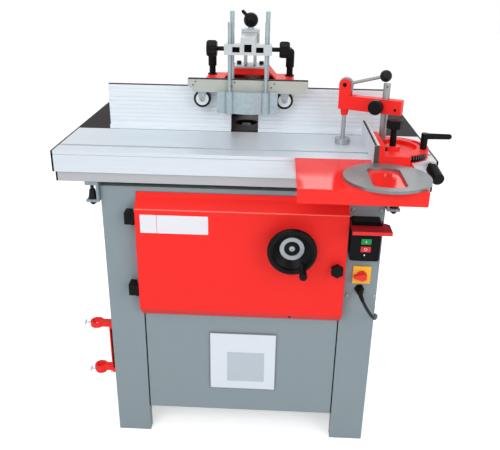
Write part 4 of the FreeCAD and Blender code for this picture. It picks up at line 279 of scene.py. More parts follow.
black_nylon = moulded("black_moulded_nylon", "#131415", "#0c0c0d", 0.34, mirror=0.09)
black_abs = moulded("black_abs_box", "#131313", "#0b0b0b", 0.3, grain=0.05, mirror=0.08)
dark_edge = moulded("dark_brown_edge_band", "#332a29", "#272020", 0.6, mirror=0.08)
# Near-black painted shade for the mouths of the arm's tube and its cross hole.
mouth_painted_shade = moulded("painted_shade_tube_mouth", "#0c0c0c", "#080808", 0.8, mirror=0.04)
charcoal = moulded("charcoal_end_piece", "#4d4d4b", "#434341", 0.5)
red_button_abs = moulded("red_abs_button", "#dd3a3f", "#d03036", 0.3)
green_button_abs = moulded("green_abs_button", "#22a050", "#1b9247", 0.3)
bright_red_abs = moulded("red_abs_knob", "#ef3a38", "#e22f2e", 0.25, edge_mm=2.0)
yellow_abs = moulded("yellow_abs_plate", "#fbc442", "#f4bb37", 0.35)
rubber = moulded("black_rubber", "#1f1f1f", "#151515", 0.7, grain=0.12)
lead_pvc = moulded("black_pvc_lead", "#242526", "#19191a", 0.45, grain=0.05)
white_enamel = moulded("white_enamel_plate", "#e4e5ea", "#dfe0e6", 0.4, grain_mm=4.0, grain=0.02)
pale_enamel = moulded("pale_blue_enamel_plate", "#dbe4eb", "#d5dee6", 0.4, grain_mm=4.0, grain=0.02)
inner_enamel = moulded("grey_blue_enamel_field", "#bcc7cf", "#b5c0c9", 0.4, grain_mm=4.0, grain=0.02)
grey_enamel = moulded("grey_enamel_frame", "#8a8f93", "#7f8488", 0.4)
white_print = moulded("white_print", "#ededed", "#e2e2e2", 0.5)
satin_silver = drawn_metal("satin_silver_dial", "#b0b5bb", "#9aa0a7", 0.4, 0.4, along_x, 2.0, 0.05, mirror=0.3)
print("plastics made, such as", black_nylon.name)

# %% [markdown]
# Some solids carry two finishes in one piece: a roller is a rubber tyre on a zinc centre, and the cam lever is
# a steel rod with a black ball. Others carry painted shade or painted highlights: painted shade in the post's
# cross hole, inside the hood, in the arm's windows and at the panel joints, and painted highlights on the
# door's folds and the flap's lip. The mask is the distance from a point or an axis of the drawing, or a set of
# boxes, so it sits still on the piece however the piece moves.

# %% Two finishes on one solid
def within_reach(tree, where, centre_mm, flat_axis, radius_mm):
    """One inside a radius round a centre, else zero; flat_axis (x, y, z) scales the distance along each axis."""
    moved = add(tree, "VectorMath", {0: where, 1: [-c for c in place(centre_mm)]}, operation="ADD")
    flat = add(tree, "VectorMath", {0: moved.outputs[0], 1: flat_axis}, operation="MULTIPLY")
    reach = add(tree, "VectorMath", {0: flat.outputs[0]}, operation="LENGTH")
    return add(tree, "Math", {0: reach.outputs["Value"], 1: radius_mm * MM}, operation="LESS_THAN").outputs[0]


def within_boxes(tree, where, *boxes):
    """One inside any of the boxes, else zero: on all three axes the place is within half a box of its middle."""
    inside = 0.0
    for low_mm, high_mm in boxes:
        low, high = place(low_mm), place(high_mm)
        moved = add(tree, "VectorMath", {0: where, 1: list(-(low + high) / 2)}, operation="ADD")
        share = add(tree, "VectorMath", {0: moved.outputs[0], 1: list(2 / (high - low))}, operation="MULTIPLY")
        size = add(tree, "VectorMath", {0: share.outputs[0]}, operation="ABSOLUTE")
        axes = add(tree, "SeparateXYZ", {0: size.outputs[0]}).outputs
        most = add(tree, "Math", {0: axes[0], 1: axes[1]}, operation="MAXIMUM").outputs[0]
        most = add(tree, "Math", {0: most, 1: axes[2]}, operation="MAXIMUM").outputs[0]
        one = add(tree, "Math", {0: most, 1: 1.0}, operation="LESS_THAN").outputs[0]
        inside = add(tree, "Math", {0: one, 1: inside}, operation="MAXIMUM").outputs[0]
    return inside


def two_tone(name, mask, shape, inside, outside, edge_mm=0.8):
    """One finish where the mask is one, another elsewhere; a finish is colour, deep colour, roughness, metal."""
    material, tree, output, where = new_material(name)
    inner = mask(tree, where, *shape)
    grains_per_metre = 900.0
    grain = add(tree, "TexNoise", {"Vector": where, "Scale": grains_per_metre, "Detail": 2.0})
    tones = []
    for colour, deep in (outside[:2], inside[:2]):
        tones.append(add(tree, "MixRGB", {0: grain.outputs[0], 1: linear(deep), 2: linear(colour)}).outputs[0])
    tint = add(tree, "MixRGB", {0: inner, 1: tones[0], 2: tones[1]})
    gloss = add(tree, "MapRange", {"Value": inner, "To Min": outside[2], "To Max": inside[2]})
    metal = add(tree, "MapRange", {"Value": inner, "To Min": outside[3], "To Max": inside[3]})
    round_edge = add(tree, "Bevel", {"Radius": edge_mm * MM}, samples=4)
    shader = add(tree, "BsdfPrincipled", {"Base Color": tint.outputs[0], "Roughness": gloss.outputs[0],
                                          "Metallic": metal.outputs[0], "Specular IOR Level": 0.15,
                                          "Normal": round_edge.outputs[0]})
    tree.links.new(shader.outputs[0], output.inputs[0])
    return material


print("masks:", within_reach.__name__, within_boxes.__name__)

# %% [markdown]
# Each two-tone finish names its mask and the two skins. The boxes are a little larger than the piece that
# they pick out, so that its faces lie inside.

# %% Two-tone finishes
black_skin = ("#1c1d1e", "#111112", 0.35, 0.0)
# A near-black skin of painted shade, for places where little light reaches.
painted_shade_skin = ("#0b0909", "#060505", 0.8, 0.0)
tyre_skin = ("#222322", "#161616", 0.6, 0.0)
zinc_skin = ("#dfe3e4", "#cdd3d5", 0.4, 0.25)
steel_skin = ("#a7abad", "#8e9294", 0.3, 0.55)
red_skin = (red, deep_red, 0.42, 0.0)
flap_skin = ("#a81f2a", "#9b1a24", 0.4, 0.0)
# A brighter red for a painted highlight on the flap's front lip.
lip_painted_highlight_skin = ("#ee3a3c", "#e63135", 0.35, 0.0)
arm_skin = ("#c6cbcd", "#b2b8ba", 0.4, 0.45)
grey_skin = ("#8c9a9f", "#86949a", 0.46, 0.0)
rail_skin = ("#b7b9bc", "#a9abaf", 0.45, 0.3)
# A paler red for painted highlights along the door's folds.
fold_painted_highlight_skin = ("#ff7d75", "#ff7169", 0.35, 0.0)

roller_y, roller_z, tyre_bore_mm = 225.0, 1029.0, 18.0
level_y = (1, 0, 1)
left_tyre = two_tone("left_roller_tyre", within_reach, ((-127.0, roller_y, roller_z), level_y, tyre_bore_mm),
                     zinc_skin, tyre_skin)
right_tyre = two_tone("right_roller_tyre", within_reach, ((106.0, roller_y, roller_z), level_y, tyre_bore_mm),
                      zinc_skin, tyre_skin)
cam_axis_mm = (269.0, 151.0, 1092.0)
lever_steel_mm = 97.0
cam_steel = two_tone("cam_lever_steel_and_ball", within_reach, (cam_axis_mm, (1, 1, 1), lever_steel_mm),
                     steel_skin, black_skin)
# A dark disc on the post is painted shade where its cross hole is.
post_hole_mm, hole_r_mm = (369.0, 106.0, 1097.0), 2.2
post_steel = two_tone("post_steel_painted_hole_shade", within_reach, (post_hole_mm, level_y, hole_r_mm),
                      painted_shade_skin, steel_skin)
# The hood's inside is painted near-black: painted shade where little light gets in.
hood_paint = two_tone("red_hood_painted_shade_inside", within_boxes, (
    ((-120.5, 265.0, 900.0), (128.5, 394.5, 1070.5)), ((-120.5, 394.0, 900.0), (128.5, 474.5, 1036.0))),
    painted_shade_skin, red_skin)
# The first two boxes are the black bolts. The third paints the middle of the base top black as painted shade between
# the uprights.
bracket_metal = two_tone("bracket_black_bolts_painted_shade", within_boxes, (
    ((-50.0, 290.0, 1109.2), (-24.5, 400.0, 1130.0)), ((29.5, 290.0, 1109.2), (55.0, 400.0, 1130.0)),
    ((-12.0, 290.0, 1109.0), (17.0, 385.0, 1112.0))), black_skin, arm_skin)
# The arm's windows are painted near-black: painted shade in the gaps between its plates.
arm_metal = two_tone("arm_with_painted_shade_windows", within_boxes, (
    ((-59.0, 178.6, 1159.0), (-18.0, 192.0, 1184.0)), ((23.0, 178.6, 1159.0), (64.0, 192.0, 1184.0))),
    painted_shade_skin, arm_skin)
# The flap's front lip carries a painted highlight.
flap_paint = two_tone("red_flap_painted_lip_highlight", within_boxes, (
    ((250.0, -70.0, 700.0), (420.0, -55.9, 760.0)),), lip_painted_highlight_skin, flap_skin)
rail_metal = two_tone("rail_with_black_caps", within_boxes, (
    ((-520.0, 0.0, 800.0), (-490.1, 220.0, 940.0)), ((490.1, 0.0, 800.0), (520.0, 220.0, 940.0))),
    black_skin, rail_skin)
jack_paint = two_tone("grey_bracket_black_jack", within_boxes, (
    ((-425.0, 10.0, 791.2), (-392.4, 50.0, 832.8)), ((392.4, 10.0, 791.2), (425.0, 50.0, 832.8)),
    ((-425.0, 10.0, 740.0), (-380.0, 50.0, 784.8)), ((380.0, 10.0, 740.0), (425.0, 50.0, 784.8))),
    black_skin, grey_skin)
side_paint = two_tone("red_bracket_zinc_screws", within_boxes, (
    ((-480.0, 35.0, 370.0), (-454.2, 70.0, 391.0)), ((-480.0, 35.0, 200.0), (-451.2, 70.0, 240.0)),
    ((-416.8, 35.0, 200.0), (-395.0, 70.0, 215.9))), zinc_skin, red_skin)
# A near-black strip at each joint of panel and column is painted shade in the gap.
panel_paint = two_tone("grey_panel_shaded_joint", within_boxes, (
    ((-302.0, 20.0, 90.0), (-281.4, 40.0, 450.0)), ((281.4, 20.0, 90.0), (302.0, 40.0, 450.0))),
    painted_shade_skin, grey_skin)
# Thin bands along the door's two folds carry painted highlights.
door_paint = two_tone("red_door_painted_fold_highlights", within_boxes, (
    ((-300.0, -12.0, 773.4), (300.0, 5.0, 776.0)), ((-300.0, 0.0, 799.0), (300.0, 20.0, 801.6))),
    fold_painted_highlight_skin, red_skin, edge_mm=3.0)
print("two-tone finishes:", left_tyre.name, cam_steel.name, hood_paint.name, bracket_metal.name, flap_paint.name)

# %% [markdown]
# Now each solid gets its finish. A table of names is the clearest way to write this down, and anyone can
# check it against the machine.

# %% Finishes on the solids
finishes = {
    red_coat: ["mitre_base", "hold_down_arm"],
    side_paint: ["side_bracket"],
    door_paint: ["door_panel"],
    hood_paint: ["fence_hood"],
    polished_red_coat: ["extension_plate"],
    grey_coat: ["side_columns"],
    panel_paint: ["cabinet_panels"],
    jack_paint: ["rail_brackets"],
    motor_coat: ["motor"],
    ground_iron: ["main_table"],
    rough_iron: ["spindle_carriage"],
    table_aluminium: ["sliding_table"],
    rail_metal: ["slide_rail"],
    fence_aluminium: ["left_fence_plate", "right_fence_plate", "mitre_fence"],
    arm_metal: ["guard_arm"],
    bracket_metal: ["arm_bracket"],
    board_aluminium: ["roller_board"],
    loose_ring_steel: ["spare_ring"],
    table_ring_iron: ["table_ring"],
    black_spindle: ["spindle_shaft"],
    spindle_steel: ["motor_pulley", "lift_screw", "lift_shaft", "spindle_bearings"],
    bright_steel: ["plunger", "guide_columns"],
    post_steel: ["hold_down_post"],
    zinc_plate: ["cutter_guard", "roller_frame"],
    cam_steel: ["cam_lever"],
    left_tyre: ["left_roller"],
    right_tyre: ["right_roller"],
    black_nylon: ["handwheel", "handwheel_grip", "door_knob", "left_clamp_lever", "right_clamp_lever", "arm_lever",
                  "left_rod_knob", "right_rod_knob", "mitre_lever", "mitre_knob", "hold_knob", "push_handle",
                  "hinge_blocks", "hinge_leaves", "cable_gland"],
    black_abs: ["switch_box"],
    rubber: ["drive_belt"],
    lead_pvc: ["power_cord", "cord_coil", "mains_plug"],
    flap_paint: ["stop_flap"],
    red_button_abs: ["stop_button"],
    green_button_abs: ["start_button"],
    bright_red_abs: ["isolator_knob"],
    yellow_abs: ["isolator_plate"],
}
dressed = set()
for material, names in finishes.items():
    for name in names:
        nodes[name].data.materials.clear()
        nodes[name].data.materials.append(material)
        dressed.add(name)
print("solids dressed:", len(dressed), "left:", sorted(set(nodes) - dressed))

# %% [markdown]
# New pieces are surfaces on a grid of two parameters. One function takes the whole grid as an array and
# makes the mesh: neighbours on the grid become the corners of a face, the first row joins the last where
# the surface closes, and points that fall together at a pole are merged.

# %% From a grid of points to a piece
def surface(name, grid, material, body, close_rows=False, close_columns=True):
    """Mesh from a grid (rows, columns, 3) in metres; each face joins four neighbours on the grid."""
    rows, columns = grid.shape[:2]
    index = np.arange(rows * columns).reshape(rows, columns)
    down = np.vstack([index, index[:1]]) if close_rows else index
    full = np.hstack([down, down[:, :1]]) if close_columns else down
    faces = np.stack([full[:-1, :-1], full[:-1, 1:], full[1:, 1:], full[1:, :-1]], axis=-1).reshape(-1, 4)
    mesh = bpy.data.meshes.new(name)
    mesh.from_pydata(grid.reshape(-1, 3).tolist(), [], faces.tolist())
    shell = bmesh.new()
    shell.from_mesh(mesh)
    bmesh.ops.remove_doubles(shell, verts=shell.verts, dist=1e-7)
    bmesh.ops.recalc_face_normals(shell, faces=shell.faces)
    shell.to_mesh(mesh)
    shell.free()
    mesh.materials.append(material)
    piece = bpy.data.objects.new(name, mesh)
    bpy.context.scene.collection.objects.link(piece)
    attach(piece, body)
    return piece


def together(name, grids, material, body):
    """Several closed grids of one size as one piece: their points are stacked and their faces shifted."""
    parts = [surface(f"{name}_{i}", grid, material, body) for i, grid in enumerate(grids)]
    merged = bmesh.new()
    for part in parts:
        merged.from_mesh(part.data)
    mesh = bpy.data.meshes.new(name)
    merged.to_mesh(mesh)
    merged.free()
    mesh.materials.append(material)
    for part in parts:
        bpy.data.objects.remove(part)
    piece = bpy.data.objects.new(name, mesh)
    bpy.context.scene.collection.objects.link(piece)
    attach(piece, body)
    return piece


facings = {
    "front": np.array([[1, 0, 0], [0, 0, 1], [0, -1, 0]], float),
    "top": np.array([[1, 0, 0], [0, 1, 0], [0, 0, 1]], float),
    "right": np.array([[0, 1, 0], [0, 0, 1], [1, 0, 0]], float),
}
print("facings:", sorted(facings))

# %% [markdown]
# Plates, screw heads, caps and buttons are all built from rings: an outline that shrinks a little and
# rises a little from one ring to the next, until it closes in the middle. The outline is a rounded
# rectangle, a circle or a hexagon, each a function of the angle round the middle.

# %% Ringed pieces
ring_points = 32


def rounded_outline(width, height, radius, count=ring_points):
    """Rounded rectangle: four quarter circles of one radius, whose centres stand in from the corners."""
    turn = (np.arange(count) + 0.5) / count * math.tau
    right = np.where(np.cos(turn) >= 0, 1.0, -1.0) * (width / 2 - radius)
    up = np.where(np.sin(turn) >= 0, 1.0, -1.0) * (height / 2 - radius)
    return np.stack([right + radius * np.cos(turn), up + radius * np.sin(turn)], axis=-1)


def round_outline(radius, count=ring_points):
    """Circle: one radius all the way round."""
    return rounded_outline(2 * radius, 2 * radius, radius, count)


def hexagon_outline(across, count=ring_points):
    """Hexagon: half its width across the flats, over the cosine of the angle from the nearest flat's middle."""
    turn = (np.arange(count) + 0.5) / count * math.tau
    sixth = math.tau / 6
    reach = across / 2 / np.cos((turn % sixth) - sixth / 2)
    return np.stack([reach * np.cos(turn), reach * np.sin(turn)], axis=-1)


def ringed(at_mm, facing, rings):
    """Stacks outlines (in mm) at heights along a facing's outward direction; the grid's rows are the rings."""
    axes = facings[facing] if isinstance(facing, str) else facing
    flat = np.stack([outline for outline, _ in rings])
    height = np.array([h for _, h in rings])[:, None, None]
    local = np.concatenate([flat, np.broadcast_to(height, flat.shape[:2] + (1,))], axis=-1)
    return place(np.asarray(at_mm, float) + local @ axes)


def plate_rings(width, height, radius, thick, edge, rim=0.0, sink=0.0):
    """A plate with an eased edge and, if rim is given, a raised rim round a field that is sunk."""
    tiny = 0.01
    steps = [(0.0, 0.0), (0.0, thick - edge), (edge, thick)]
    if rim:
        steps += [(rim, thick), (rim + edge, thick - sink)]
    rings = []
    for inset, level_mm in steps:
        corner = max(radius - inset, tiny)
        rings.append((rounded_outline(width - 2 * inset, height - 2 * inset, corner), level_mm))
    rings.append((rounded_outline(tiny, tiny, tiny / 2) * 0, steps[-1][1]))
    return rings


def screw_rings(radius, height, socket):
    """A button head: a domed disc with a hexagon socket across the given width."""
    dome = 0.35
    return [(round_outline(radius), 0.0), (round_outline(radius), height * dome),
            (round_outline(radius * 0.86), height * 0.85), (round_outline(radius * 0.68), height),
            (hexagon_outline(socket), height), (hexagon_outline(socket), height * dome),
            (round_outline(radius) * 0, height * dome)]


print("outline points:", ring_points)

# %% [markdown]
# The mains lead is a fixed length of flexible cable. It leaves the gland on the right column, bows out,
# drops past the corner of the cabinet and runs along the floor to the back, where the rest lies wound in
# two layers, with the plug on a short straight end. It is one NURBS spline: the points of the route are
# its control points, which it rounds off smoothly, and the turns of the coil are more points of it.

# %% Route of the mains lead
lead_mm = 9.0
lead_route = np.array([
    (335, 4, 541), (335, -4, 541), (335, -24, 541), (341.5, -42.5, 532), (352, -52.5, 516.5), (364.5, -51.5, 499),
    (374.5, -39, 484.5), (381.5, -16, 474), (389.2, 14, 461.5), (392.8, 52, 444), (394.5, 94, 416), (398, 138, 371),
    (402, 178, 313), (405, 216, 243), (406, 258, 168), (408, 304, 98), (411, 356, 41), (415, 414, 9), (416, 468, 5),
    (413, 528, 5), (402, 586, 5), (375, 643, 5), (330, 686, 5), (270, 706, 5)], float)
coil_inner_mm, coil_pitch_mm, plug_end_mm = 44.0, 9.8, 70.0
layer_turns, climb_turns, last_turns, points_per_turn = 2, 0.5, 0.25, 16


def coil_line(turn):
    """Spiral in at a steady rate, climb one layer in half a turn, spiral out again, all over the turn count."""
    past = turn - layer_turns
    share = np.clip(past / climb_turns, 0, 1)
    spiral_in = coil_inner_mm + coil_pitch_mm * np.clip(-past, 0, None)
    spiral_out = coil_pitch_mm * np.clip(past - climb_turns, 0, None)
    waist = coil_pitch_mm * climb_turns * share * (1 - share)
    radius = (spiral_in + spiral_out - waist) / math.cos(math.pi / points_per_turn)
    angle = math.tau * turn + math.pi / 2
    rise = share * share * (3 - 2 * share) * coil_pitch_mm
    return np.stack([radius * np.cos(angle), radius * np.sin(angle), rise], axis=-1)


all_turns = 2 * layer_turns + climb_turns + last_turns
coil = coil_line(np.linspace(0, all_turns, int(all_turns * points_per_turn) + 1))
way = lead_route[-1] - lead_route[-2]
way /= np.linalg.norm(way)
start_way = coil[1] - coil[0]
twist = math.atan2(way[1], way[0]) - math.atan2(start_way[1], start_way[0])
spin = np.array([[math.cos(twist), -math.sin(twist), 0], [math.sin(twist), math.cos(twist), 0], [0, 0, 1]])
coil = coil @ spin.T
coil += lead_route[-1] + way * lead_mm - coil[0]
plug_way = coil[-1] - coil[-2]
plug_way /= np.linalg.norm(plug_way)
lead_points = place(np.vstack([lead_route, coil, coil[-1] + plug_way * plug_end_mm]))
print("lead control points:", len(lead_points))

# %% [markdown]
# The spline is bevelled to the lead's thickness. The same spline with no thickness gives the centre line,
# which is measured here and which the rubber sleeve at the gland follows.

# %% The mains lead
def lead_curve(name, bevel):
    """One open NURBS spline of order three through its two ends, with the route's points as control points."""
    curve = bpy.data.curves.new(name, "CURVE")
    curve.dimensions = "3D"
    curve.bevel_depth = bevel
    curve.bevel_resolution = 4
    curve.resolution_u = 8
    spline = curve.splines.new("NURBS")
    spline.points.add(len(lead_points) - 1)
    spline.points.foreach_set("co", np.hstack([lead_points, np.ones((len(lead_points), 1))]).ravel())
    spline.order_u = 3
    spline.use_endpoint_u = True
    piece = bpy.data.objects.new(name, curve)
    bpy.context.scene.collection.objects.link(piece)
    return piece


bare = lead_curve("lead_line", 0.0)
line_mesh = bpy.data.meshes.new_from_object(bare.evaluated_get(bpy.context.evaluated_depsgraph_get()))
lead_line = np.zeros(len(line_mesh.vertices) * 3)
line_mesh.vertices.foreach_get("co", lead_line)
lead_line = lead_line.reshape(-1, 3)
bpy.data.objects.remove(bare)
lead_steps = np.linalg.norm(np.diff(lead_line, axis=0), axis=1)
mains_lead = lead_curve("mains_lead", lead_mm / 2 * MM)
mains_lead.data.materials.append(lead_pvc)
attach(mains_lead, "frame")
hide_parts("power_cord", "cord_coil")

# %% [markdown]
# Where a lead leaves a housing, a ribbed rubber sleeve keeps it from kinking. Its section is a circle
# carried along the lead's own centre line, with a radius that tapers and ripples.

# %% Sleeve at the gland
def along_line(line, radii, count=ring_points):
    """Circles of the given radii carried along a line; each circle stands square to the line's direction."""
    ahead = np.gradient(line, axis=0)
    ahead /= np.linalg.norm(ahead, axis=1, keepdims=True)
    across = np.cross(ahead, [0.0, 0.0, 1.0])
    across /= np.linalg.norm(across, axis=1, keepdims=True)
    above = np.cross(across, ahead)
    turn = np.arange(count) / count * math.tau
    ring = np.cos(turn)[None, :, None] * across[:, None] + np.sin(turn)[None, :, None] * above[:, None]
    return line[:, None] + radii[:, None, None] * ring


sleeve_mm, sleeve_root_mm, sleeve_tip_mm = 38.0, 6.9, 5.3
sleeve_ribs, rib_points, ripple_mm = 6, 8, 0.35
reach = np.concatenate([[0.0], np.cumsum(lead_steps)])
stations = np.linspace(0.0, sleeve_mm * MM, sleeve_ribs * rib_points + 1)
sleeve_line = np.stack([np.interp(stations, reach, lead_line[:, i]) for i in range(3)], axis=-1)
share = stations / stations[-1]
taper = sleeve_root_mm + (sleeve_tip_mm - sleeve_root_mm) * share
ripple = ripple_mm * np.cos(share * sleeve_ribs * math.tau) * (1 - share)
sleeve_grid = along_line(sleeve_line, (taper + ripple) * MM)
closed = np.concatenate([sleeve_line[:1, None].repeat(ring_points, 1), sleeve_grid,
                         sleeve_line[-1:, None].repeat(ring_points, 1)])
lead_sleeve = surface("lead_sleeve", closed, rubber, "frame")
print("sleeve length", sleeve_mm, "mm")

# %% [markdown]
# The front panel and the door carry name plates on the real machine. Their places are kept, as bare
# enamelled plates with a plain frame.

# %% Bare plates on the panel and the door
panel_front, door_front = 30.0, -5.0
plate_x, plate_z, plate_side, plate_thick = 7.0, 275.0, 200.0, 1.2
field_side, field_thick = 195.0, 0.5
field_front = panel_front - plate_thick
inner_front = field_front - field_thick
surface("panel_plate", ringed((plate_x, panel_front, plate_z), "front",
                              plate_rings(plate_side, plate_side, 3, plate_thick, 0.4)),
        grey_enamel, "frame")
surface("panel_plate_field", ringed((plate_x, field_front, plate_z), "front",
                                    plate_rings(field_side, field_side, 2, field_thick, 0.2)),
        pale_enamel, "frame")
surface("panel_plate_inner", ringed((16, inner_front, 257), "front", plate_rings(112, 104, 1, 0.3, 0.1)),
        inner_enamel, "frame")
label_z, label_rise, label_thick = 733.5, 53.0, 0.8
together("door_plates", [
    ringed((x, door_front, label_z), "front", plate_rings(width, label_rise, 2, label_thick, 0.3))
    for x, width in ((-251.5, 45.0), (-158.5, 139.0))],
    white_enamel, "door")
print("bare plates: panel and door")

# %% [markdown]
# Screw heads are small, but the eye looks for them: they say what holds what. Each is a domed disc with a
# hexagon socket.

# %% Screw heads
column_front, box_front, board_front = 30.0, -10.0, 199.0
column_heads = together("column_screws", [
    ringed((x, column_front, z), "front", screw_rings(5.0, 3.0, 5.0))
    for x, z in ((303, 518), (379, 519), (299, 780), (375, 780))],
    bright_steel, "frame")
box_heads = together("box_screws", [
    ringed((x, box_front, 655), "front", screw_rings(3.4, 1.6, 3.0)) for x in (302, 367)],
    black_nylon, "frame")
together("board_screws", [
    ringed((x, board_front, z), "front", screw_rings(2.0, 1.0, 2.0))
    for x, z in ((-143, 1081), (-150, 1071), (-34, 1081), (-42, 1070), (76, 1079), (68, 1068))],
    black_nylon, "roller_board")
print("screw heads on columns and box:", len(column_heads.data.polygons) + len(box_heads.data.polygons), "faces")

# %% [markdown]
# The handwheel's middle is a satin dial ring round a black boss with a bright screw. They are ringed
# pieces as well, each standing a little in front of the hub.

# %% Dial of the handwheel
wheel_mm = (138.0, -30.0, 686.5)


def annulus(outer, inner, thick, edge):
    """A flat ring with eased edges: out at the rim, over the top and down again at the bore."""
    return [(round_outline(outer), 0.0), (round_outline(outer), thick - edge), (round_outline(outer - edge), thick),
            (round_outline(inner + edge), thick), (round_outline(inner), thick - edge), (round_outline(inner), 0.0)]


surface("handwheel_dial_ring", ringed(wheel_mm, "front", annulus(35.0, 21.0, 3.0, 0.8)),
        satin_silver, "handwheel", close_rows=True)
surface("handwheel_screw", ringed(wheel_mm, "front", screw_rings(8.5, 5.0, 6.0)),
        bright_steel, "handwheel")
print("dial ring and screw on the handwheel")

# %% [markdown]
# Both switch buttons have the standard marks, a bar for on and a ring for off, and a small lamp below.

# %% Marks on the buttons and the lamp
mark_front = box_front - 4.0
surface("on_mark", ringed((336, mark_front, 706), "front", plate_rings(1.6, 8, 0.4, 0.25, 0.1)),
        white_print, "start_button")
surface("off_mark", ringed((336, mark_front, 683.5), "front", annulus(4.2, 3.0, 0.25, 0.1)),
        white_print, "stop_button", close_rows=True)
surface("switch_lamp", ringed((334, box_front, 665), "front", [
    (round_outline(2.4), 0.0), (round_outline(2.4), 0.8), (round_outline(1.7), 1.6), (round_outline(2.4) * 0, 1.9)]),
    white_print, "frame")
print("marks and lamp made")

# %% [markdown]
# Thin dark bands finish the top edges of the fence plates, the pressure board and the mitre fence. Each
# is a strip one or two millimetres thick. A charcoal cap closes the front end of the mitre fence.

# %% Edge bands
band = 1.6
fence_top, board_top, mitre_top = 1057.9, 1087.0, 980.4
surface("left_fence_band", ringed((-225, 257, fence_top), "top", plate_rings(355, 13, 1, band, 0.2)),
        dark_edge, "left_fence_plate")
surface("right_fence_band", ringed((209.5, 257, fence_top), "top", plate_rings(354, 13, 1, band, 0.2)),
        dark_edge, "right_fence_plate")
surface("board_band", ringed((2.5, 207, board_top), "top", plate_rings(333, 15.6, 1, 2.0, 0.4)),
        dark_edge, "roller_board")
surface("mitre_fence_band", ringed((330.9, 81, mitre_top), "top", plate_rings(4.4, 249, 1, band, 0.2)),
        dark_edge, "mitre_head")
surface("mitre_fence_cap", ringed((334.8, -44, 955.4), "front", plate_rings(12.6, 49.6, 1, 1.2, 0.4)),
        charcoal, "mitre_head")
print("edge bands made")

# %% [markdown]
# The mouth of the square arm is closed by a plug in near-black painted shade, so that it reads as an open dark
# tube. The ends of the sliding table are closed by caps, whose dark edges frame its front and its top.

# %% Plug and cap edges
surface("arm_mouth_shade_plug", ringed((2.5, 180, 1175), "front", plate_rings(19.6, 19.6, 1, 1.0, 0.4)),
        mouth_painted_shade, "guard_arm")
slide_z, slide_rise = (slide_low.z + slide_high.z) / 2 / MM, (slide_high.z - slide_low.z) / MM
slide_depth = (slide_high.y - slide_low.y) / MM
cap_mm, cap_thick = 5.0, 0.3
cap_xs = (-497.5, 497.5)
together("table_cap_edges", [
    ringed((x, 0, slide_z), "front", plate_rings(cap_mm, slide_rise, 1, cap_thick, 0.1)) for x in cap_xs] + [
    ringed((x, slide_depth / 2, slide_high.z / MM), "top", plate_rings(cap_mm, slide_depth, 1, cap_thick, 0.1))
    for x in cap_xs], black_nylon, "sliding_table")
print("plug and cap edges made")

# %% [markdown]
# The mitre gauge has a dark scale on its rim. It is a strip bent round the gauge's pivot: a small section
# carried round an arc, which closes to a point at each end. Pale lines on it stand five degrees apart.

# %% Scale of the mitre gauge
mitre_pivot = np.array([391.0, 60.0])
rim_mm, strip_mm, scale_low, scale_high = 92.0, 0.4, 933.5, 949.0
scale_start, scale_end, scale_step = -74.0, -33.0, 5.0
tick_half, tick_low, tick_high = 0.35, scale_low + 6, scale_high - 1


def rim_strip(angles, inner, outer, low, high):
    """A rectangle (radius, height) carried round the pivot; the first and last sections shrink to their middle."""
    section = np.array([(inner, low), (outer, low), (outer, high), (inner, high)])
    grid = []
    for angle in angles:
        way = np.array([math.cos(math.radians(angle)), math.sin(math.radians(angle))])
        grid.append([(*(mitre_pivot + way * radius), z) for radius, z in section])
    grid = np.array(grid)
    ends = grid[[0, -1]].mean(axis=1, keepdims=True).repeat(len(section), 1)
    return place(np.concatenate([ends[:1], grid, ends[1:]]))


surface("mitre_scale", rim_strip(np.linspace(scale_start, scale_end, 24), rim_mm, rim_mm + strip_mm,
                                 scale_low, scale_high), black_nylon, "mitre_head")
tick_grids = []
for angle in np.arange(scale_start + scale_step, scale_end, scale_step):
    tick = np.array([angle - tick_half, angle, angle + tick_half])
    tick_grids.append(rim_strip(tick, rim_mm + strip_mm, rim_mm + 1.5 * strip_mm, tick_low, tick_high))
together("mitre_scale_lines", tick_grids, grey_enamel, "mitre_head")
print("scale lines:", len(tick_grids))

# %% [markdown]
# Small fittings give the size of what they hold: the head of the cam's pin, the screw on the mitre fence's
# flange, the screw under the door and the axle heads of the rollers. A near-black disc at the mouth of the
# arm's cross hole is painted shade. The clamp arm stands askew, so its fittings face along its own side.

# %% Small fittings
plunger_mm, post_mm = (269.0, 151.0), (369.5, 106.0)
arm_turn = math.atan2(post_mm[1] - plunger_mm[1], post_mm[0] - plunger_mm[0])
arm_side = np.array([[math.cos(arm_turn), math.sin(arm_turn), 0], [0, 0, 1],
                     [math.sin(arm_turn), -math.cos(arm_turn), 0]])
fold_sine, fold_cosine = 0.697, 0.717
door_slope = np.array([[1, 0, 0], [0, -fold_sine, fold_cosine], [0, -fold_cosine, -fold_sine]])


def button(radius, height):
    """A plain low head: a disc whose rim is eased over a fifth of its radius."""
    return [(round_outline(radius), 0.0), (round_outline(radius), height * 0.6),
            (round_outline(radius * 0.8), height), (round_outline(radius) * 0, height)]


surface("cam_pin_head", ringed((263.7, 139.1, 1092), arm_side, button(5.5, 1.6)),
        black_nylon, "hold_down_arm")
surface("arm_hole_mouth", ringed((391.5, 81.9, 1040), arm_side, button(3.6, 0.3)),
        mouth_painted_shade, "hold_down_arm")
surface("door_screw", ringed((140.8, 14.4, 448), door_slope, screw_rings(4.5, 2.4, 4.0)),
        black_nylon, "door")
surface("mitre_flange_screw", ringed((355.3, -20, 965), "right", screw_rings(6.0, 8.0, 5.0)),
        black_nylon, "mitre_head")
together("axle_heads", [
    ringed((x, 215, roller_z), "front", screw_rings(5.0, 3.0, 4.0)) for x in (-127, 106)],
    bright_steel, "roller_board")
print("small fittings made")

# %% [markdown]
# The scene is a plain white studio. The world gives even light from all sides, and four large soft lamps
# shape the machine: two from the front, one from above and a weak one from behind. Rays from the camera
# see pure white behind it.

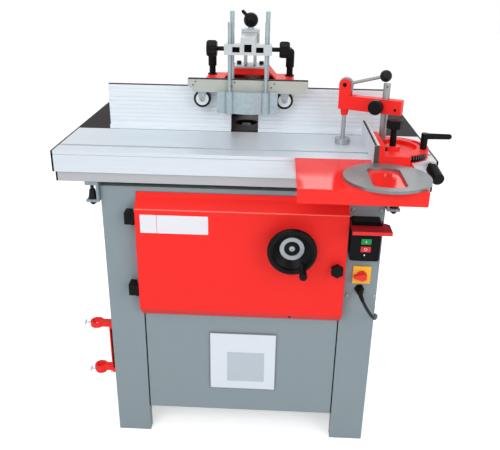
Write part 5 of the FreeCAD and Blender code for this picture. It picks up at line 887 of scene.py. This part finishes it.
# %% Studio
def seen_directly(tree):
    """One for a ray from the camera, or one that comes off or through a shiny or clear surface, else zero."""
    path = add(tree, "LightPath").outputs
    either = add(tree, "Math", {0: path["Is Camera Ray"], 1: path["Is Glossy Ray"]}, operation="MAXIMUM")
    return add(tree, "Math", {0: either.outputs[0], 1: path["Is Transmission Ray"]}, operation="MAXIMUM").outputs[0]


scene = bpy.context.scene
scene.view_settings.view_transform = "Standard"
world = bpy.data.worlds.new("studio")
scene.world = world
world.use_nodes = True
tree = world.node_tree
tree.nodes.clear()
sky_strength = 0.62
soft_sky = add(tree, "Background", {"Color": linear("#f4f6f8"), "Strength": sky_strength})
white_sky = add(tree, "Background", {"Color": (1, 1, 1, 1), "Strength": 1.0})
either = add(tree, "MixShader", {0: seen_directly(tree), 1: soft_sky.outputs[0], 2: white_sky.outputs[0]})
add(tree, "OutputWorld", {"Surface": either.outputs[0]})


def lamp_at(name, at_mm, aim_mm, size, watts):
    """A square soft lamp that looks from one drawing point to another."""
    light = bpy.data.lights.new(name, "AREA")
    light.size, light.energy = size, watts
    lamp_object = bpy.data.objects.new(name, light)
    scene.collection.objects.link(lamp_object)
    back = place(at_mm) - place(aim_mm)
    back /= np.linalg.norm(back)
    right = np.cross([0.0, 0.0, 1.0], back)
    right /= np.linalg.norm(right)
    matrix = np.eye(4)
    matrix[:3, 0], matrix[:3, 1], matrix[:3, 2], matrix[:3, 3] = right, np.cross(back, right), back, place(at_mm)
    lamp_object.matrix_world = Matrix(matrix.tolist())
    return lamp_object


key = lamp_at("key_lamp", (-1200, -2700, 2900), (0, 200, 700), 1.8, 46)
fill = lamp_at("fill_lamp", (2100, -2300, 2000), (0, 200, 600), 1.8, 30)
top_lamp = lamp_at("top_lamp", (0, -250, 3200), (0, 100, 900), 2.0, 13)
back_lamp = lamp_at("back_lamp", (300, 2600, 2600), (0, 300, 900), 1.6, 14)
print("lamps:", key.name, fill.name, top_lamp.name, back_lamp.name)

# %% [markdown]
# The floor is a wide sheet. To the camera, and in reflections, it has some light of its own, so that it is
# white where nothing shades it and meets the background without a line. It gives the machine none of it.

# %% Floor
floor_half, floor_glow = 12.0, 0.5
floor_ends = [-floor_half, floor_half]
floor_corners = [(x, y, 0.0) for x in floor_ends for y in floor_ends]
floor_mesh = bpy.data.meshes.new("studio_floor")
floor_mesh.from_pydata(floor_corners, [], [(0, 2, 3, 1)])
floor = bpy.data.objects.new("studio_floor", floor_mesh)
scene.collection.objects.link(floor)
floor_paint, tree, output, where = new_material("matt_studio_floor")
specks_per_metre = 3.0
speck = add(tree, "TexNoise", {"Vector": where, "Scale": specks_per_metre})
pale = add(tree, "MixRGB", {0: speck.outputs[0], 1: linear("#f1f1f2"), 2: linear("#f4f4f4")})
glow = add(tree, "Math", {0: seen_directly(tree), 1: floor_glow}, operation="MULTIPLY")
floor_shader = add(tree, "BsdfPrincipled", {"Base Color": pale.outputs[0], "Roughness": 0.9,
                                            "Emission Color": (1, 1, 1, 1), "Emission Strength": glow.outputs[0]})
tree.links.new(floor_shader.outputs[0], output.inputs[0])
floor_mesh.materials.append(floor_paint)
print("floor laid")
